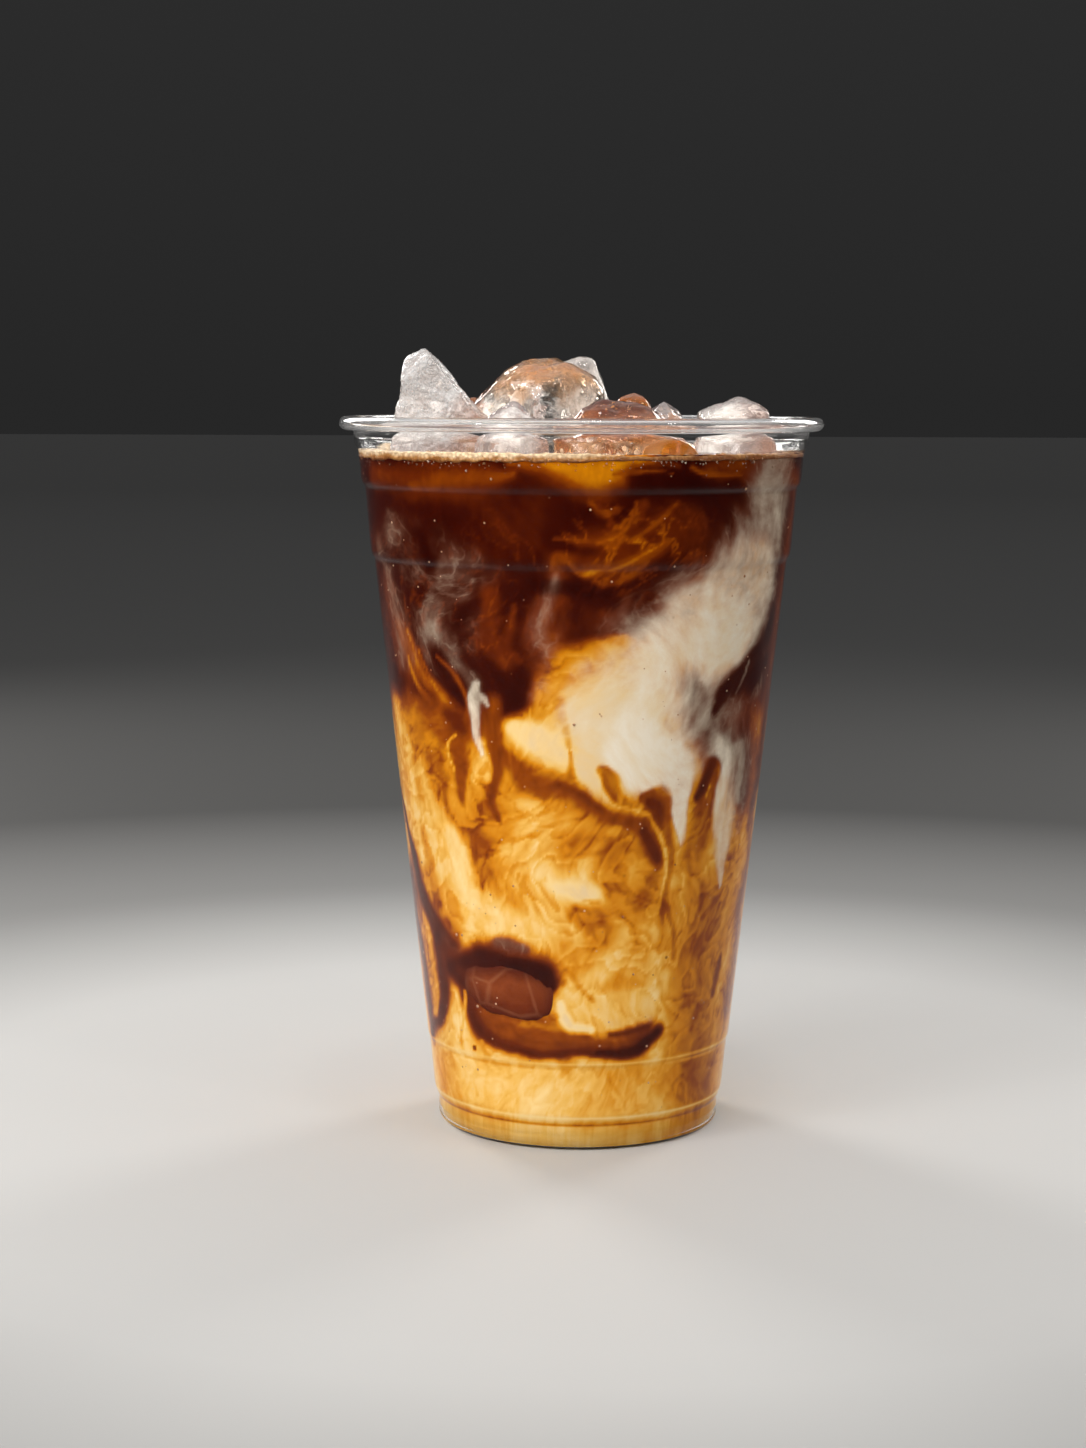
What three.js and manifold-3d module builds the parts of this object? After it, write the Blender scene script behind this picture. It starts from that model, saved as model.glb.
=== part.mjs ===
// Iced cold brew coffee with a swirl of cream, in a clear cold-drink cup with a rolled rim.
// Millimetres, +Z up. The origin is the middle of the cup's foot, on the surface that it stands on.
import * as THREE from "three";
import { ConvexGeometry } from "three/addons/geometries/ConvexGeometry.js";
import { mergeVertices } from "three/addons/utils/BufferGeometryUtils.js";
import Module from "manifold-3d";

const wasm = await Module();
wasm.setup();

// Cup: the outside of its wall, its foot and its rolled rim
const CUP_HEIGHT = 145;
const RIM_RADIUS = 49;
const BEAD_HEIGHT = 2.8;
const WALL = 0.6;
const FOOT_RADIUS = 29;
const FOOT_CORNER = 1.6;
const FOOT_RING_WIDTH = 3.6;
const PUNT_RISE = 1.5;
const SEGMENTS = 52;

// The wall's rings from the foot to the rim, each [height, outside radius]: a shoulder above the foot,
// a low stacking step, the long taper, two grip steps and the collar under the bead.
const WALL_RINGS = [
  [5.0, FOOT_RADIUS],
  [5.8, 29.45],
  [7.4, 29.95],
  [17.4, 30.95],
  [18.2, 31.3],
  [116.4, 41.95],
  [117.2, 42.5],
  [118.4, 42.75],
  [130.8, 43.8],
  [131.6, 44.4],
  [132.6, 44.65],
  [138.2, 45.15],
  [139.0, 45.75],
  [139.8, 46.05],
  [CUP_HEIGHT - BEAD_HEIGHT, 46.1],
];

// Drink: its level and the rim of liquid that climbs the wall
const GAP = 0.36;
const LEVEL = 137.5;
const MENISCUS_RISE = 0.7;
const MENISCUS_WIDTH = 1.8;

// Faces of a chunk of ice: how far out its sides and the cut faces round its bottom lie as a share of the
// ellipsoid, the elevation of those cut faces, and how much each kind of face varies in azimuth (radians),
// in elevation (degrees) and in share
const SIDE_SHARE = 0.97;
const BOTTOM_SHARE = 0.95;
const BOTTOM_ELEVATION = -48;
const SIDE_VARY = { azimuth: 0.1, elevation: 0, share: 0.03 };
const CROWN_VARY = { azimuth: 0.2, elevation: 6, share: 0.03 };
const BOTTOM_VARY = { azimuth: 0.4, elevation: 9, share: 0.05 };

// Repeatable sequence of numbers that varies the faces
const SEQUENCE_STEP = 16807;
const SEQUENCE_RANGE = 2147483647;

// Colours and finishes
const PLASTIC = { color: 0xf2f2ee, roughness: 0.08, metalness: 0 };
const COFFEE = { color: 0x8a4a16, roughness: 0.25, metalness: 0 };
const CLEAR_ICE = { color: 0xe6e2dc, roughness: 0.15, metalness: 0 };
const STAINED_ICE = { color: 0xa8682a, roughness: 0.15, metalness: 0 };

// Ice that stands out of the drink, each chunk a cracked block with flat faces all round an ellipsoid.
// at is its middle and half its half sizes. leans holds one lean per flat side, in degrees towards the
// top, evenly spaced from the azimuth turn. crown is the elevation of the cut faces round the top, cut
// how deep they go, tip the slope of the top face and the azimuth that it slopes towards.
const ICE = [
  {
    name: "ice_shard", finish: CLEAR_ICE, seed: 11, at: [-29.5, -12.0, 141.0], half: [7.6, 6.0, 14.0],
    turn: 0, leans: [40, 8, 7, 6], crown: 50, cut: 1.24, tip: [44, 355],
  },
  {
    name: "ice_dome", finish: CLEAR_ICE, seed: 6, at: [-7.8, 5.0, 145.6], half: [13.4, 9.0, 11.6],
    turn: 0, leans: [1, 6, 10, 38, 12, 4], crown: 58, cut: 0.97, tip: [6, 200],
  },
  {
    name: "ice_front_clear", finish: CLEAR_ICE, seed: 23, at: [-13.8, -29.0, 136.6], half: [6.6, 6.4, 10.6],
    turn: 18, leans: [6, 6, 8, 10, 4, 6], crown: 50, cut: 0.92, tip: [14, 190],
  },
  {
    name: "ice_front_brown", finish: STAINED_ICE, seed: 37, at: [6.8, -25.6, 137.0], half: [12.4, 6.2, 10.8],
    turn: 0, leans: [8, 6, 6, 2, 4, 8], crown: 54, cut: 1.02, tip: [7, 15],
  },
  {
    name: "ice_front_amber", finish: STAINED_ICE, seed: 41, at: [16.2, -35.0, 134.2], half: [5.8, 2.6, 8.6],
    turn: 25, leans: [4, 6, 4, 2], crown: 50, cut: 0.95, tip: [4, 40],
  },
  {
    name: "ice_small", finish: CLEAR_ICE, seed: 53, at: [16.4, -11.4, 138.2], half: [3.8, 4.2, 9.6],
    turn: 15, leans: [10, 6, 8, 6, 4], crown: 52, cut: 0.92, tip: [8, 10],
  },
  {
    name: "ice_frosted", finish: CLEAR_ICE, seed: 61, at: [30.6, -12.4, 137.2], half: [7.8, 7.8, 11.2],
    turn: 0, leans: [10, 6, 8, 8, 6, 6], crown: 62, cut: 0.96, tip: [8, 165],
  },
  {
    name: "ice_back_tip", finish: CLEAR_ICE, seed: 71, at: [0.2, 24.0, 143.0], half: [5.8, 5.4, 15.4],
    turn: 0, leans: [20, 8, 26, 6, 10], crown: 66, cut: 0.96, tip: [14, 160],
  },
  {
    name: "ice_back_left", finish: STAINED_ICE, seed: 83, at: [-22.6, 20.0, 138.4], half: [7.0, 7.2, 11.0],
    turn: 40, leans: [6, 8, 8, 6, 8, 6], crown: 52, cut: 0.94, tip: [8, 100],
  },
  {
    name: "ice_back_middle", finish: STAINED_ICE, seed: 97, at: [11.4, 8.4, 139.2], half: [4.6, 5.8, 10.6],
    turn: 0, leans: [16, 6, 4, 0, 4, 6], crown: 54, cut: 1.08, tip: [30, 0],
  },
  {
    name: "ice_back_right", finish: CLEAR_ICE, seed: 101, at: [30.6, 11.4, 136.2], half: [6.4, 7.2, 10.4],
    turn: 60, leans: [6, 6, 6, 8, 6, 6], crown: 52, cut: 0.93, tip: [10, 200],
  },
];

// Tolerances of the geometry
const TOLERANCE = 1e-6;
const NEARLY_PARALLEL = 1e-4;
const MERGE_DISTANCE = 1e-4;

const radians = THREE.MathUtils.degToRad;
const polar = (azimuth, elevation) =>
  new THREE.Vector3(
    Math.cos(elevation) * Math.cos(azimuth),
    Math.cos(elevation) * Math.sin(azimuth),
    Math.sin(elevation),
  );

// Points of a circular arc, given by its middle, radius and two angles in degrees.
function arc(middleRadius, middleHeight, radius, from, to, steps) {
  const points = [];
  for (let i = 0; i <= steps; i++) {
    const angle = radians(from + ((to - from) * i) / steps);
    points.push(
      new THREE.Vector2(middleRadius + radius * Math.cos(angle), middleHeight + radius * Math.sin(angle)),
    );
  }
  return points;
}

// The foot's outline from the axis to the wall, set in from the outside by inset.
function footOutline(inset) {
  const puntEdge = FOOT_RADIUS - FOOT_CORNER - FOOT_RING_WIDTH;
  const corner = FOOT_CORNER - inset / 2;
  return [
    new THREE.Vector2(0, PUNT_RISE + inset),
    new THREE.Vector2(puntEdge - PUNT_RISE + inset / 4, PUNT_RISE + inset),
    new THREE.Vector2(puntEdge + inset / 4, inset),
    ...arc(FOOT_RADIUS - inset - corner, inset + corner, corner, -90, 0, 4),
  ];
}

// The wall's outline from the foot up to a height, set in from the outside by inset.
function wallOutline(inset, top) {
  const points = WALL_RINGS.filter(([height]) => height < top).map(
    ([height, radius]) => new THREE.Vector2(radius - inset, height + inset / 8),
  );
  return [...points, new THREE.Vector2(wallRadius(top) - inset, top)];
}

// Outside radius of the wall at a height, in line between its rings.
function wallRadius(height) {
  const above = WALL_RINGS.findIndex(([ring]) => ring >= height);
  const [lowHeight, lowRadius] = WALL_RINGS[above - 1];
  const [highHeight, highRadius] = WALL_RINGS[above];
  return THREE.MathUtils.mapLinear(height, lowHeight, highHeight, lowRadius, highRadius);
}

// A solid of revolution about +Z from an outline of [radius, height] points.
function turned(outline) {
  const geometry = new THREE.LatheGeometry(outline, SEGMENTS);
  geometry.rotateX(Math.PI / 2);
  return geometry;
}

function cupGeometry() {
  const beadRadius = BEAD_HEIGHT / 2;
  const beadMiddle = RIM_RADIUS - beadRadius;
  const collarTop = CUP_HEIGHT - BEAD_HEIGHT;
  const insideRim = wallRadius(collarTop) - WALL;
  return turned([
    ...footOutline(0),
    ...wallOutline(0, collarTop),
    ...arc(beadMiddle, collarTop + beadRadius, beadRadius, -90, 90, 10),
    ...arc(insideRim + WALL, CUP_HEIGHT - WALL, WALL, 90, 180, 3),
    ...wallOutline(WALL, collarTop).reverse(),
    ...footOutline(WALL).reverse(),
  ]);
}

// The faces of a chunk in its own frame, each an outward normal and its distance from the middle: the
// flat sides, a sloping top, a bottom, and cut faces that take the edges off above and below.
function chunkFaces({ half, leans, crown, tip, cut, seed }) {
  let state = seed;
  const vary = (most) => {
    state = (state * SEQUENCE_STEP) % SEQUENCE_RANGE;
    return most * ((2 * state) / SEQUENCE_RANGE - 1);
  };
  const faces = [];
  const touching = (azimuth, elevation, share) => {
    const normal = polar(azimuth, radians(elevation));
    const reach = Math.hypot(normal.x * half[0], normal.y * half[1], normal.z * half[2]);
    faces.push({ normal, distance: reach * share });
  };
  const varied = (azimuth, elevation, share, by) =>
    touching(azimuth + vary(by.azimuth), elevation + vary(by.elevation), share + vary(by.share));
  const spacing = (2 * Math.PI) / leans.length;
  touching(radians(tip[1]), 90 - tip[0], 1);
  touching(0, -90, 1);
  leans.forEach((lean, side) => {
    const azimuth = spacing * side;
    varied(azimuth, lean, SIDE_SHARE, SIDE_VARY);
    varied(azimuth + spacing / 2, crown, cut, CROWN_VARY);
    varied(azimuth, BOTTOM_ELEVATION, BOTTOM_SHARE, BOTTOM_VARY);
  });
  return faces;
}

// The solid inside all of the faces: its corners are where three faces meet with none beyond them.
// margin moves every face out.
function chunkGeometry(chunk, margin) {
  const faces = chunkFaces(chunk);
  const planes = faces.map(({ normal, distance }) => new THREE.Plane(normal, -distance - margin));
  const inside = (point) => planes.every((plane) => plane.distanceToPoint(point) < TOLERANCE);
  const corners = [];
  for (let i = 0; i < planes.length; i++) {
    for (let j = i + 1; j < planes.length; j++) {
      for (let k = j + 1; k < planes.length; k++) {
        const corner = meetingPoint(planes[i], planes[j], planes[k]);
        if (corner && inside(corner)) corners.push(corner);
      }
    }
  }
  return new ConvexGeometry(corners);
}

// Where three planes meet, or null if two of them are nearly parallel.
function meetingPoint(a, b, c) {
  const cross = b.normal.clone().cross(c.normal);
  const volume = a.normal.dot(cross);
  if (Math.abs(volume) < NEARLY_PARALLEL) return null;
  return cross
    .multiplyScalar(-a.constant)
    .addScaledVector(c.normal.clone().cross(a.normal), -b.constant)
    .addScaledVector(a.normal.clone().cross(b.normal), -c.constant)
    .divideScalar(volume);
}

// A closed geometry as a solid that can be cut.
function solid(geometry) {
  const bare = geometry.clone();
  bare.deleteAttribute("normal");
  bare.deleteAttribute("uv");
  const merged = mergeVertices(bare, MERGE_DISTANCE);
  const triVerts = [];
  const index = merged.index.array;
  for (let i = 0; i < index.length; i += 3) {
    const [a, b, c] = [index[i], index[i + 1], index[i + 2]];
    if (a !== b && b !== c && c !== a) triVerts.push(a, b, c);
  }
  return new wasm.Manifold(
    new wasm.Mesh({
      numProp: 3,
      vertProperties: merged.attributes.position.array,
      triVerts: new Uint32Array(triVerts),
    }),
  );
}

function geometryOf(manifold) {
  const { vertProperties, triVerts } = manifold.getMesh();
  const geometry = new THREE.BufferGeometry();
  geometry.setAttribute("position", new THREE.BufferAttribute(vertProperties, 3));
  geometry.setIndex(new THREE.BufferAttribute(triVerts, 1));
  geometry.computeVertexNormals();
  return geometry;
}

// The drink fills the cup to its level, climbs the wall a little and leaves room round each chunk of ice.
function drinkGeometry() {
  const inset = WALL + GAP;
  const climbTop = LEVEL + MENISCUS_RISE;
  const edge = wallRadius(climbTop) - inset;
  const body = turned([
    ...footOutline(inset),
    ...wallOutline(inset, climbTop),
    new THREE.Vector2(edge - MENISCUS_WIDTH / 3, LEVEL + MENISCUS_RISE / 4),
    new THREE.Vector2(edge - MENISCUS_WIDTH, LEVEL),
    new THREE.Vector2(0, LEVEL),
  ]);
  let drink = solid(body);
  for (const chunk of ICE) {
    const room = chunkGeometry(chunk, GAP);
    room.rotateZ(radians(chunk.turn));
    room.translate(...chunk.at);
    drink = drink.subtract(solid(room));
  }
  return geometryOf(drink);
}

function part(name, geometry, finish) {
  const mesh = new THREE.Mesh(geometry, new THREE.MeshStandardMaterial(finish));
  mesh.name = name;
  return mesh;
}

const object = new THREE.Group();
object.add(part("cup", cupGeometry(), PLASTIC));
object.add(part("drink", drinkGeometry(), COFFEE));
for (const chunk of ICE) {
  const mesh = part(chunk.name, chunkGeometry(chunk, 0), chunk.finish);
  mesh.rotation.z = radians(chunk.turn);
  mesh.position.set(...chunk.at);
  object.add(mesh);
}

export default object;
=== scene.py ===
"""Iced cold brew coffee marbled with cream, in a clear cold-drink cup with a rolled rim.

Sizes are in millimetres until they go into a mesh. Angles round the cup are in degrees from the front,
which faces -Y, and grow towards +X.
"""
from itertools import product
from math import pi, radians

import bpy
import numpy as np
from mathutils import Matrix, Vector


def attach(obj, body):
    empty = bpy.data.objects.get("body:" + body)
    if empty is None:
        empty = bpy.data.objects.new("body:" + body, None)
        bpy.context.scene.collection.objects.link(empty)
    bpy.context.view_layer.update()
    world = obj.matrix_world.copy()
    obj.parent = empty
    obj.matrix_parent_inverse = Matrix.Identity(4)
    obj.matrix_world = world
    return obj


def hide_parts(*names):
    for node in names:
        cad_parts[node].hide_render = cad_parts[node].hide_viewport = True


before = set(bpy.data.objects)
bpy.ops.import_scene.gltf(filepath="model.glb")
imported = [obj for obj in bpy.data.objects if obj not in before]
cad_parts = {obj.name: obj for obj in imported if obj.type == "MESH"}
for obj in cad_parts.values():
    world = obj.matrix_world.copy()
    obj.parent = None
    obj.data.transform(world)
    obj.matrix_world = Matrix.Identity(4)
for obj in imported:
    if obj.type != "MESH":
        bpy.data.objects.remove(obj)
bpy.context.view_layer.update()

MM = 0.001

# Cup: the wall's rings from the floor to the bead, each (height, outside radius)
WALL_RINGS = np.array([
    (5.0, 29.0), (5.8, 29.45), (7.4, 29.95), (17.4, 30.95), (18.2, 31.3), (116.4, 41.95), (117.2, 42.5),
    (118.4, 42.75), (130.8, 43.8), (131.6, 44.4), (132.6, 44.65), (138.2, 45.15), (139.0, 45.75),
    (139.8, 46.05), (142.2, 46.1),
])
CUP_HEIGHT = 145.0
RIM_RADIUS = 49.0
BEAD_RADIUS = 1.4
WALL = 0.6
FOOT_RADIUS = 29.0
FOOT_CORNER = 1.6
PUNT_RADIUS = 22.3
PUNT_RISE = 1.5
CUP_COLUMNS = 168
FOOT_STEPS = 6
BEAD_STEPS = 20
LIP_STEPS = 6
HOLLOW_STEPS = 17

# Drink: how far inside the cup's outside its skin lies, its level, and the rows and columns of its skin
DRINK_INSET = 0.42
LEVEL = 137.4
WALL_CLIMB = 0.8
ICE_CLIMB = 0.7
CLIMB_REACH = 1.3
CLIMB_LIMIT = 1.2
DRINK_COLUMNS = 336
FOOT_ROWS = 9
SIDE_ROWS = 246
TOP_ROWS = 30
TOP_CROWDING = 1.35
FRONT_CROWDING = 0.5
MIDDLE_RADIUS = 37.0

# Camera: where it stands, how far it looks down, its roll and its focal length on a 36 mm sensor
CAMERA_AT = (-7.54, -540.5, 149.5)
CAMERA_PITCH = 7.11
CAMERA_ROLL = 0.2
CAMERA_LENS = 65.8

# Flow: (size, strength, steps, seed) of the slow bend of the strokes and of the stirring of the threads,
# and how far noise that rides on the flow is drawn out upwards
BEND_FLOW = (6.0, 0.4, 6, 8)
BEND_REACH = 0.7
THREAD_FLOW = (8.0, 2.2, 14, 5)
DRAWN_OUT = np.array([1.0, 1.0, 0.55])
FLOW_WAVES = 26
# Noise is multiplied by this, so that it mostly lies between -1 and 1
NOISE_GAIN = 1.6
# Noise of the swirl: size, octaves and seed
BEND_ALONG = (12.0, 4, 11)
BEND_UP = (12.0, 4, 21)
COFFEE_NOISE = (16.0, 3, 31)
CLOUD_NOISE = (10.0, 3, 71)
THREAD_NOISE = (4.0, 5, 41)
FOLD_NOISE = (12.0, 3, 201)
VEIL_NOISE = (9.0, 5, 61)
# Milk before the strokes are laid: black coffee and its unevenness, the golden part and what is added low
# down, each with the heights it comes in over
COFFEE_MILK = 0.09
COFFEE_UNEVEN = 0.05
GOLDEN_MILK = 0.56
GOLDEN_FROM = (94.0, 80.0)
PALE_MILK = 0.12
PALE_FROM = (50.0, 36.0)
# Painted shade at one side of the golden part: how much darker, the angle, its reach round, and the heights
# it comes in over
PAINTED_SIDE_SHADE = (0.14, 50.0, 24.0, (62.0, 40.0))
# The strokes are laid again at the back, this much higher
BACK_LIFT = 4.0
# Painted shade and highlight round the foot and the ledge, as dark and light lines: height, half width and
# milk
SHADE_AND_HIGHLIGHT_RINGS = ((5.5, 0.55, 0.38), (6.8, 0.6, 0.8), (17.1, 0.35, 0.62), (18.1, 0.4, 0.76))
# Grain of the golden part: the milk it is strongest at and its reach on the milk scale, how far it is damped
# over some heights, and the milk that clouds, threads and folds add to it
GOLDEN_MIDDLE = 0.58
GOLDEN_REACH = 0.2
GOLDEN_DAMPED = ((0.4, (24.0, 14.0)), (0.8, (122.0, 128.0)))
CLOUD_MILK = 0.16
THREAD_MILK = 0.06
FOLD_MILK = 0.16
FOLD_COUNT = 2.2
FOLD_EDGE = 0.84
FOLD_MIDDLE = 0.42
# Dark veins of the golden part: the milk they take away, how thin they are, and size, octaves and seed
VEINS = ((0.1, 4.0, 6.5, 3, 51), (0.05, 5.0, 4.4, 3, 191))
# Threads everywhere: the milk they add, and how far threads and clouds break up the cream
LOOSE_THREAD_MILK = 0.03
CREAM_THREADS = 0.9
CREAM_CLOUDS = 0.5
# Dark coffee is drawn into strands around these angles and heights, each with its reach round and up
# and its strength. Then how thin the strands are with the size, octaves and seed of their noise, and
# the milk they come in over.
STRANDS = ((-44.0, 108.0, 34.0, 18.0, 0.12), (13.0, 121.0, 20.0, 8.0, 0.24))
STRAND_LINES = (5.0, 5.0, 4, 171)
STRAND_DARK = (0.34, 0.18)
# Thin smoke in the coffee: its middle, how many degrees from it and over which heights it comes in and goes
# out, its cream and how strongly it is broken up
SMOKE_MIDDLE = -46.0
SMOKE_ROUND = (40.0, 24.0)
SMOKE_FROM = (90.0, 98.0)
SMOKE_TO = (131.0, 120.0)
SMOKE_CREAM = 0.06
SMOKE_CONTRAST = 1.2
# Top of the drink: how far from the wall it takes over, its milk, more of it near the wall, and its cream
TOP_FROM = (0.0, 3.0)
TOP_MILK = 0.13
TOP_UNEVEN = 0.1
TOP_MILK_NOISE = (11.0, 5, 81)
TOP_MILK_RANGE = (0.02, 0.4)
EDGE_MILK = 0.1
EDGE_REACH = 4.0
TOP_CREAM = -0.12
TOP_CREAM_UNEVEN = 0.5
TOP_CREAM_NOISE = (11.0 / 1.4, 4, 91)
TOP_CREAM_RANGE = (0.0, 0.3)

# Colours of the milk scale, from black coffee to white, as shown on a display
MILK_SCALE = (
    (0.0, (36, 1, 0)), (0.12, (60, 10, 1)), (0.24, (102, 35, 3)), (0.35, (150, 71, 3)),
    (0.47, (208, 130, 6)), (0.57, (222, 153, 36)), (0.69, (236, 186, 90)), (0.81, (242, 211, 146)),
    (0.92, (238, 216, 176)), (1.0, (230, 213, 184)),
)
# Colours of cream over it, from a thin veil to a full cover
VEIL_SCALE = (
    (0.1, (196, 118, 78)), (0.38, (200, 156, 128)), (0.6, (218, 197, 172)), (0.84, (232, 217, 193)),
    (1.0, (240, 229, 210)),
)

# Ice: each solid's slot, look, edge sharpness, depth of its dents, depth of its fine roughness and how much
# fuller it is than the solid, whose corners the rounding takes off
ICE = {
    "ice_shard": ("clear_ice", "frosted", 44, 0.7, 0.45, 1.02),
    "ice_dome": ("clear_ice", "caramel", 16, 0.8, 0.05, 1.03),
    "ice_front_clear": ("clear_ice", "clear", 44, 0.7, 0.08, 1.12),
    "ice_front_brown": ("stained_ice", "brown", 30, 1.1, 0.08, 1.05),
    "ice_front_amber": ("stained_ice", "amber", 18, 0.8, 0.08, 1.03),
    "ice_small": ("clear_ice", "clear", 36, 0.5, 0.08, 1.16),
    "ice_frosted": ("clear_ice", "rosy", 46, 0.6, 0.25, 1.1),
    "ice_back_tip": ("clear_ice", "clear", 30, 0.7, 0.08, 1.02),
    "ice_back_left": ("stained_ice", "amber", 20, 0.8, 0.06, 1.02),
    "ice_back_middle": ("stained_ice", "amber", 20, 0.8, 0.06, 1.02),
    "ice_back_right": ("clear_ice", "clear", 24, 0.8, 0.06, 1.02),
}
ICE_ROWS = 90
ICE_COLUMNS = 132
# Noise that cuts into the ice: size, octaves and seed of broad dents, chips in them and fine roughness
ICE_DENTS = (7.0, 2, 101)
ICE_CHIPS = (3.4, 2, 111)
ICE_GRAIN = (1.1, 3, 121)
DENT_BIAS = 0.15
CHIP_SHARE = 0.4

# Froth: a ring at the wall, fuller at the left and uneven, with noise given as size, octaves and seed
FROTH_COLUMNS = 420
FROTH_SECTION = 12
FROTH_HEIGHT = 137.6
FROTH_WIDTH = 3.0
FROTH_DEPTH = 2.1
FROTH_INSET = 0.36
FROTH_FLAT = 0.25
FROTH_FULLNESS = 0.74
FROTH_UNEVEN = 0.6
FROTH_LEFT = 0.5
FROTH_WIDTH_RANGE = (0.25, 1.3)
FROTH_DEPTH_RANGE = (0.38, 1.1)
FROTH_RAGGED = 0.5
FROTH_LUMP = 0.22
FROTH_LUMP_FROM = 0.2
FROTH_NOISE_RADIUS = 20.0
FULLNESS_NOISE = (9.0, 3, 131)
RAGGED_NOISE = (1.5, 2, 136)
LUMP_NOISE = (1.3, 2, 141)
# Where bubbles lie on the froth, with the shape and scale of their spread from the wall, how high they ride,
# and how far dots hang under it
BUBBLE_START = 0.45
BUBBLE_SPREAD = (1.6, 0.9)
BUBBLE_RISE = 0.35
DOT_START = 0.3
DOT_SPREAD = (3.0, 0.42)
# Bubbles on the froth, dots under it and bubbles on the wall: how many, the usual radius, its spread, and
# the smallest and the largest
FROTH_BUBBLES = (620, 0.32, 0.45, 0.14, 0.95)
FROTH_DOTS = (520, 0.16, 0.3, 0.09, 0.3)
WALL_BUBBLES = (420, 0.13, 0.35, 0.08, 0.3)
WALL_BUBBLE_HEIGHTS = (8.0, LEVEL - 3.0)
FROTH_SEED = 7
WALL_BUBBLE_SEED = 17

# Ice sunk in the pocket at the lower left: half sizes across, inwards and up, and its place on the wall
SUNK_HALF = np.array([14.2, 4.0, 5.8])
SUNK_SQUARENESS = 2.6
SUNK_ANGLE = -27.0
SUNK_HEIGHT = 32.4
SUNK_LEAN = -6.0
SUNK_INSET = 0.3
SUNK_FLATNESS = 0.72
SUNK_WAVES = (7.0, 1, 151)
SUNK_DENTS = (3.0, 1, 161)
SUNK_DENT = 0.05
SUNK_SHOWN = (0.6, 1.0)
SUNK_ROWS = 40
SUNK_COLUMNS = 72

# Finishes
WALL_IOR = 1.26
RIM_IOR = 1.45
RIM_CLEARNESS = 0.96
ICE_IOR = 1.31
STAIN_UNEVEN = 9.0
ICE_WETNESS = 0.8
CRACK_WANDER = (4 * MM,) * 3
BUBBLE_IOR = 1.2
BUBBLE_CLEARNESS = 0.75
THREAD_STRENGTH = 0.5
WISP_STRENGTH = 0.8
FULL_CREAM_WISP = 0.3
LOOP_STRENGTH = 0.7
VEIL_POWER = 1.9
# Painted light and shade of the sunk ice over its height, from low down to its top
DROWNED_LIGHT_AND_SHADE = ((0.0, (74, 19, 6)), (0.4, (110, 43, 14)), (0.7, (136, 64, 27)), (1.0, (102, 37, 13)))

# Each look of ice: clear, clouded and stained colours as shown, the way the stain grows with the places in
# millimetres along it where it starts and is full, frost, cracks, grain, transmission, relief and the range
# of its roughness
ICE_LOOKS = {
    "frosted": ((232, 224, 220), (255, 255, 255), (186, 122, 80), (0.85, 0.0, -0.55), (-103.0, -93.0),
                0.54, 0.9, 0.9, 0.5, 0.7, (0.06, 0.45)),
    "caramel": ((255, 252, 246), (252, 240, 220), (236, 186, 124), (0.0, 0.0, 1.0), (148.0, 154.0),
                0.44, 0.4, 0.0, 0.97, 0.35, (0.0, 0.06)),
    "clear": ((255, 251, 248), (255, 255, 252), (244, 228, 220), (0.0, 0.0, -1.0), (-145.0, -136.0),
              0.5, 0.8, 0.1, 0.86, 0.4, (0.0, 0.12)),
    "brown": ((232, 172, 112), (255, 228, 196), (176, 92, 22), (0.0, 0.0, 1.0), (139.0, 146.0),
              0.48, 0.5, 0.1, 0.88, 0.45, (0.0, 0.1)),
    "amber": ((228, 148, 30), (246, 196, 90), (206, 120, 14), (0.0, 0.0, 1.0), (140.0, 150.0),
              0.4, 0.4, 0.05, 0.72, 0.35, (0.0, 0.1)),
    "rosy": ((250, 244, 238), (255, 255, 252), (206, 154, 130), (0.9, 0.0, -0.3), (-18.0, -6.0),
             0.54, 0.9, 0.3, 0.78, 0.45, (0.02, 0.2)),
}
# Cracks inside the ice: the piece, how many flakes, their greatest half width, how stained they are, the way
# they lie from its middle and how far out they are, as shares of the way to its skin
FLAKES = (
    ("ice_shard", 44, 2.4, 0.0, (-0.8, -0.6, 0.3), (0.5, 0.92)),
    ("ice_dome", 7, 3.4, 0.0, (-0.6, -0.6, 0.0), (0.3, 0.7)),
    ("ice_front_clear", 12, 2.6, 0.05, (0.0, -0.6, 0.2), (0.3, 0.75)),
    ("ice_front_brown", 12, 2.6, 0.1, (-0.4, -1.0, -0.6), (0.3, 0.75)),
    ("ice_front_brown", 46, 0.8, 0.0, (-0.5, -0.8, 0.7), (0.85, 0.95)),
    ("ice_front_amber", 5, 1.8, 1.0, (0.0, -0.6, 0.0), (0.3, 0.7)),
    ("ice_small", 6, 1.8, 0.1, (0.0, -0.4, 0.3), (0.3, 0.75)),
    ("ice_frosted", 20, 2.6, 0.0, (-1.2, -0.6, 0.2), (0.4, 0.85)),
    ("ice_back_tip", 10, 2.2, 0.1, (0.0, 0.0, 0.4), (0.3, 0.75)),
    ("ice_back_left", 6, 2.0, 1.0, (0.0, 0.0, 0.4), (0.3, 0.75)),
    ("ice_back_middle", 6, 1.8, 1.0, (0.0, 0.0, 0.4), (0.3, 0.75)),
    ("ice_back_right", 12, 2.2, 0.1, (0.0, 0.0, 0.4), (0.3, 0.75)),
)
FLAKE_THICKNESS = 0.1
FLAKE_ROWS = 3
FLAKE_COLUMNS = 10
FLAKE_TILT = 0.35
FLAKE_SIZES = (0.3, 1.0)
FLAKE_NARROWING = (0.35, 0.9)
FLAKE_ROOM = 0.9
FLAKE_SEED = 27
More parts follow.
